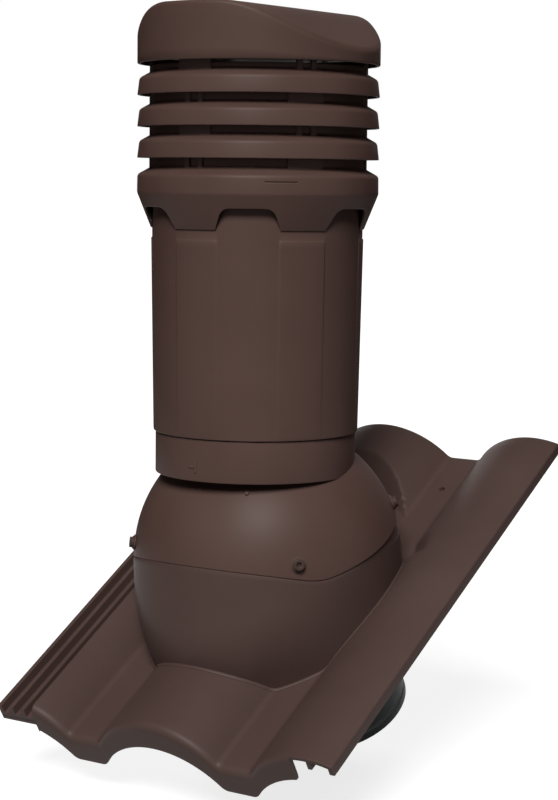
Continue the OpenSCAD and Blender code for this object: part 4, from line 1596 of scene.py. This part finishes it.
@dataclass
class LouvreStack:
    """Toothed collar and the three louvre rings over it, with the bars and pegs between them."""

    rim: float = 99.9
    edge: float = 98.2
    neck: float = 88.2
    wall: float = 2.2
    skirt: float = 13.8
    shoulder: float = 5.6
    proud: float = 1.7
    pitch: float = 25.6
    first_gap: float = 28.2
    overlap: float = 4.4
    tooth_tip: float = 340.0
    collar_foot: float = 368.7
    sleeve: float = 87.3
    # Half width at the foot, half width at the top and height of a window.
    window: tuple[float, float, float] = (26.3, 20.8, 17.4)
    # Level, azimuth and angle across of the latch's slot.
    latch: tuple[float, float, float] = (378.1, 45.7, 15.5)
    bar: float = 20.0
    peg: float = 3.0
    peg_spread: float = 4.0
    tube_rise: float = 6.05

    def carriers(self, foot: float, top: float, bars_at: float) -> list[Shell]:
        """Three long bars and three pairs of pegs that carry the next louvre.

        Args:
            foot: Level of the louvre's rim.
            top: Level of their upper ends.
            bars_at: Azimuth of the first bar, in degrees.

        Returns:
            Nine closed shells.
        """
        low, inner = foot + self.skirt + self.shoulder - 3, self.neck - 1
        outer, spread = self.neck + self.proud, self.peg_spread
        made = []
        for turn in (0, 120, 240):
            for off, width in ((0, self.bar), (60 - spread, self.peg), (60 + spread, self.peg)):
                made.append(sector(inner, outer, low, top, bars_at + turn + off, width))
        return made

    def louvre(self, foot: float, neck_height: float) -> Shell:
        """One louvre: skirt, shoulder and neck as one section with round corners, turned.

        Args:
            foot: Level of its rim.
            neck_height: Height of its neck's end over the rim.

        Returns:
            The closed shell.
        """
        high, inner, end = foot + self.skirt, self.neck - self.wall, foot + neck_height
        section = np.array([
            [self.rim, foot], [self.edge, high], [self.neck, high + self.shoulder],
            [self.neck, end], [inner, end], [inner, high + self.shoulder - 1.25],
            [self.edge - self.wall, high - 1.25], [self.rim - self.wall, foot],
        ])
        corner = np.array([0.7, 2.2, 1.6, 0.6, 0.6, 0.8, 0.8, 0.7])[:, None]
        return revolve(rounded(section, corner, 4), 240)

    def collar(self) -> Shell:
        """The collar: teeth, band, shoulder and neck, with the tube inside that stands on the
        sleeve, as one section turned round.

        Returns:
            The closed shell.
        """
        band, tip, bore = self.collar_foot, self.tooth_tip, self.neck - self.wall
        chamfer = band + self.skirt + 1.0
        neck, end = chamfer + self.shoulder + 0.8, band + self.first_gap + self.overlap
        tube_in, tube_foot = self.sleeve - self.wall, band + self.tube_rise
        section = np.array([
            [self.sleeve + 0.4, tip], [self.sleeve + 1.1, tip], [self.rim, band],
            [self.rim - 0.2, chamfer], [self.neck, neck], [self.neck, end], [bore, end],
            [bore, neck - 0.6], [tube_in, neck - 2.2], [tube_in, tube_foot],
            [self.sleeve, tube_foot], [self.sleeve, neck - 3.0],
            [self.rim - self.wall, chamfer - 1.4], [self.rim - self.wall, band + 0.6],
            [self.sleeve + 0.4, tip + 2.6],
        ])
        corner = np.array([
            0.2, 0.3, 1.2, 2.4, 1.6, 0.6, 0.6, 0.3, 0.4, 0.5, 0.5, 0.4, 0.8, 0.8, 0.4,
        ])[:, None]
        return revolve(rounded(section, corner, 4), 288)

    def windows(self) -> list[Shell]:
        """Six windows between the teeth: a flat rounded outline carried straight outwards.

        Returns:
            One closed shell for each window.
        """
        half, top, tall = self.window
        outline = np.array([
            [-half, -6.0], [half, -6.0], [half, 0.0], [top, tall], [-top, tall], [-half, 0.0],
        ])
        outline = rounded(outline, np.array([1.0, 1.0, 4.0, 7.2, 7.2, 4.0])[:, None], 6)
        reach = np.array([self.sleeve - 8.0, self.rim + 9.0])[:, None, None]
        made = []
        for turn in np.radians(60 * np.arange(6) + 30 - 90):
            way = np.array([math.cos(turn), math.sin(turn), 0.0])
            side = np.array([-math.sin(turn), math.cos(turn), 0.0])
            rise = (outline[:, 1:] + self.tooth_tip) * np.array([0.0, 0.0, 1.0])
            made.append(capped(way * reach + (outline[:, :1] * side + rise)))
        return made

    def latch_slot(self) -> Shell:
        """The short fine slot of the latch in the collar's band."""
        level, middle, width = self.latch
        return sector(self.rim - 0.9, self.rim + 1.0, level, level + 0.8, middle, width)

    def build(self, finishes: Finishes) -> None:
        """Builds and dresses the collar and the rings, which stand for the CAD nodes.

        Args:
            finishes: The part's finishes.
        """
        first = self.collar_foot + self.first_gap
        inside = self.skirt + self.shoulder - 3.6
        collar = make_piece("head_collar_skin", [self.collar()])
        carve(collar, [*self.windows(), self.latch_slot()])
        carriers = self.carriers(self.collar_foot + 1.6, first + inside, 60)
        bars = make_piece("head_collar_bars", carriers)
        pieces = [(collar, "head_collar"), (bars, "head_collar")]
        full = self.pitch + self.overlap
        for level, neck_height, bars_at, top in (
            (0, full, 0, self.pitch + inside),
            (1, full, 60, self.pitch + inside),
            (2, self.pitch - 1.6, 0, self.pitch + 6.2),
        ):
            node, foot = f"louvre_ring_{3 - level}", first + level * self.pitch
            shells = [self.louvre(foot, neck_height), *self.carriers(foot, foot + top, bars_at)]
            pieces.append((make_piece(node + "_skin", shells), node))
        for piece, node in pieces:
            hand_over(piece, finishes, Slot.PIPE, node, Body.PIPE)


@dataclass
class CadPieces:
    """CAD nodes that stay as they are and only get a finish."""

    finish_of: dict[Slot, tuple[str, ...]]

    def dress(self, finishes: Finishes) -> None:
        """Gives each node its finish.

        Args:
            finishes: The part's finishes.
        """
        for slot, names in self.finish_of.items():
            for name in names:
                finishes.dress(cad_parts[name], slot)
                LOG.info("%s wears %s", name, slot.value)


# ---------------------------------------------------------------- studio


@dataclass
class Studio:
    """Pale floor, soft lamps and the camera at the photograph's angle."""

    lens: float = 93.5
    place: tuple[float, float, float] = (0.993444, -1.417198, 0.38656)
    bearing: float = 34.384
    tilt: float = 6.265
    roll: float = 0.642
    floor_level: float = -0.1235
    floor_half: float = 40.0
    floor_bounce: float = 0.08
    shadow_share: float = 0.30
    floor_glow: float = 0.80
    ambient: float = 0.02
    lamp_reach: float = 3.0
    # Name, offset to the camera's right, towards it and up, angle across, and level of light.
    lamps: tuple[tuple[str, tuple[float, float, float], float, float], ...] = (
        ("key_lamp", (-0.17, 1.0, 0.90), 24.0, 1.22),
        ("back_lamp", (0.15, -1.0, 0.5), 40.0, 0.65),
    )
    card_reach: float = 1.25
    # Name, azimuth from straight behind, angle across, and lowest and highest elevation.
    card_spans: tuple[tuple[str, float, float, float, float], ...] = (
        ("card_left", 52.0, 90.0, -5.0, 78.0),
        ("card_right", -52.0, 90.0, -5.0, 78.0),
        ("card_top", 0.0, 26.0, 24.0, 78.0),
    )

    def stand(
        self, name: str, data: bpy.types.ID, axes: Sequence[np.ndarray], place: Sequence[float]
    ) -> bpy.types.Object:
        """Adds a camera or lamp, turned to three axes and set at a place.

        Args:
            name: Name of the object.
            data: Its camera or lamp.
            axes: Its own x, y and z directions.
            place: Where its origin stands, in metres.

        Returns:
            The new object.
        """
        matrix = np.eye(4)
        matrix[:3, :3] = np.column_stack(axes)
        matrix[:3, 3] = place
        made = add_object(name, data)
        made.matrix_world = Matrix(matrix.tolist())
        return made

    def sheet(
        self,
        name: str,
        points: Sequence[Sequence[float]],
        faces: Sequence[Sequence[int]],
        material: bpy.types.Material,
    ) -> bpy.types.Object:
        """Adds a floor or card of the studio, which isn't part of the object.

        Args:
            name: Name of the sheet.
            points: Its points, in metres.
            faces: Its faces, as point numbers.
            material: What it wears.

        Returns:
            The new object.
        """
        mesh = bpy.data.meshes.new(name)
        mesh.from_pydata(points, [], faces)
        mesh.materials.append(material)
        made = add_object(name, mesh)
        return made

    def axes(self) -> tuple[np.ndarray, np.ndarray, np.ndarray]:
        """Right, up and forward of the camera, from its bearing, tilt and roll.

        Returns:
            Three unit directions.
        """
        a, p, r = (math.radians(v) for v in (self.bearing, self.tilt, self.roll))
        level_right = np.array([math.cos(a), math.sin(a), 0.0])
        level_ahead = np.array([-math.sin(a), math.cos(a), 0.0])
        up = np.array([0.0, 0.0, 1.0])
        ahead = level_ahead * math.cos(p) - up * math.sin(p)
        above = level_ahead * math.sin(p) + up * math.cos(p)
        right = level_right * math.cos(r) + above * math.sin(r)
        return right, above * math.cos(r) - level_right * math.sin(r), ahead

    def camera(self) -> None:
        """Adds the camera and makes it the scene's."""
        right, above, ahead = self.axes()
        data = bpy.data.cameras.new("camera")
        data.lens = self.lens
        data.sensor_width = 36.0
        data.sensor_fit = "AUTO"
        data.clip_start = 0.05
        data.clip_end = 50.0
        axes = (right, above, -ahead)
        bpy.context.scene.camera = self.stand("camera", data, axes, self.place)

    def lamp(
        self, name: str, offset: tuple[float, float, float], spread: float, level: float
    ) -> None:
        """Adds a far, wide lamp: its light is even over the floor and soft at the shadow's edge.

        A far lamp of strength S lights a facing white surface to the level S / pi.

        Args:
            name: Name of the lamp.
            offset: Direction to the lamp: the camera's right, towards the camera, and up.
            spread: Angle across the lamp, in degrees.
            level: Share of full white that it gives a facing surface.
        """
        right, _, ahead = self.axes()
        flat = np.array([ahead[0], ahead[1], 0.0])
        flat /= np.linalg.norm(flat)
        back = right * offset[0] - flat * offset[1] + np.array([0, 0, offset[2]])
        back /= np.linalg.norm(back)
        data = bpy.data.lights.new(name, "SUN")
        data.angle = math.radians(spread)
        data.energy = level * math.pi
        side = np.cross([0.0, 0.0, 1.0], back)
        side /= np.linalg.norm(side)
        axes = (side, np.cross(back, side), back)
        self.stand(name, data, axes, back * self.lamp_reach)

    def floor(self) -> None:
        """Adds a pale floor: white to the camera and in reflections, and it keeps the shadow."""
        made, tree = new_material("pale_floor")
        tree.nodes.clear()
        bounce, paint = (
            add_node(tree, "ShaderNodeBsdfDiffuse", Color=(grey, grey, grey, 1)).outputs[0]
            for grey in (self.floor_bounce, self.shadow_share)
        )
        glow = add_node(tree, "ShaderNodeEmission", Strength=self.floor_glow)
        white = add_node(tree, "ShaderNodeAddShader", {0: paint, 1: glow.outputs[0]})
        links = {0: seen(tree), 1: bounce, 2: white.outputs[0]}
        both = add_node(tree, "ShaderNodeMixShader", links)
        add_node(tree, "ShaderNodeOutputMaterial", {"Surface": both.outputs[0]})
        half, level = self.floor_half, self.floor_level
        corners = ((-half, -half), (half, -half), (half, half), (-half, half))
        self.sheet("studio_floor", [(*c, level) for c in corners], [(0, 1, 2, 3)], made)

    def cards(self) -> None:
        """Adds three dark cards behind the object: parts of a ball of the radius card_reach.

        Left, right and overhead they give the round plastic its dark edges, as black flags do in
        a studio. They cast no shadow.
        """
        made, tree = new_material("dark_card")
        adjust(
            tree.nodes["Principled BSDF"], Base_Color=linear("#1c1c1c"), Roughness=1.0,
            Specular_IOR_Level=0.0,
        )
        _, _, ahead = self.axes()
        behind = math.degrees(math.atan2(ahead[1], ahead[0]))
        for name, off, width, low, high in self.card_spans:
            turn = np.radians(behind + off + width * np.linspace(-0.5, 0.5, 9))[None, :]
            rise = np.radians(column(low, high, 9))
            grid = self.card_reach * upright(np.cos(rise), turn, np.sin(rise))
            part = skin(grid, ring=False)
            card = self.sheet(name, part.points.tolist(), part.faces, made)
            card.visible_camera = False
            card.visible_shadow = False

    def world(self) -> None:
        """Lights the scene evenly and shows white where nothing stands."""
        world = bpy.data.worlds.new("studio_world")
        bpy.context.scene.world = world
        world.use_nodes = True
        tree = world.node_tree
        tree.nodes.clear()
        even, white = (
            add_node(tree, "ShaderNodeBackground", Strength=level, Color=(1, 1, 1, 1)).outputs[0]
            for level in (self.ambient, 1.0)
        )
        mixed = add_node(tree, "ShaderNodeMixShader", {0: seen(tree), 1: even, 2: white})
        add_node(tree, "ShaderNodeOutputWorld", {"Surface": mixed.outputs[0]})

    def build(self) -> None:
        """Builds the whole studio."""
        self.camera()
        for name, offset, spread, level in self.lamps:
            self.lamp(name, offset, spread, level)
        self.floor()
        self.cards()
        self.world()
        bpy.context.scene.view_settings.view_transform = "Standard"


def main() -> None:
    """Builds the pieces in order and reports each through the log."""
    logging.basicConfig(level=logging.INFO, format="%(name)s: %(message)s")
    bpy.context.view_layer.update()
    finishes = Finishes()
    CadPieces({
        Slot.TILE: ("tile_base",),
        Slot.PIPE: (
            "ball_shell", "sleeve_pipe", "head_collar", "louvre_ring_1", "louvre_ring_2",
            "louvre_ring_3", "rain_hood", "screw_washers",
        ),
        Slot.INNER: (
            "hood_liner", "inner_duct", "centring_ring_top", "centring_ring_bottom",
            "bayonet_ring", "dome_screws",
        ),
        Slot.SPIGOT: ("duct_adapter",),
        Slot.SEAL: ("sleeve_seal", "ball_seal", "adapter_seal", "spigot_seal"),
        Slot.FOAM: ("insulation_tube",),
        Slot.STEEL: ("screw_nuts", "adapter_screws"),
    }).dress(finishes)
    RoofTile().build(finishes)
    BallShell().build(finishes)
    SleevePipe().build(finishes)
    LouvreStack().build(finishes)
    RainHood().build(finishes)
    Studio().build()


if __name__ == "__main__":
    main()
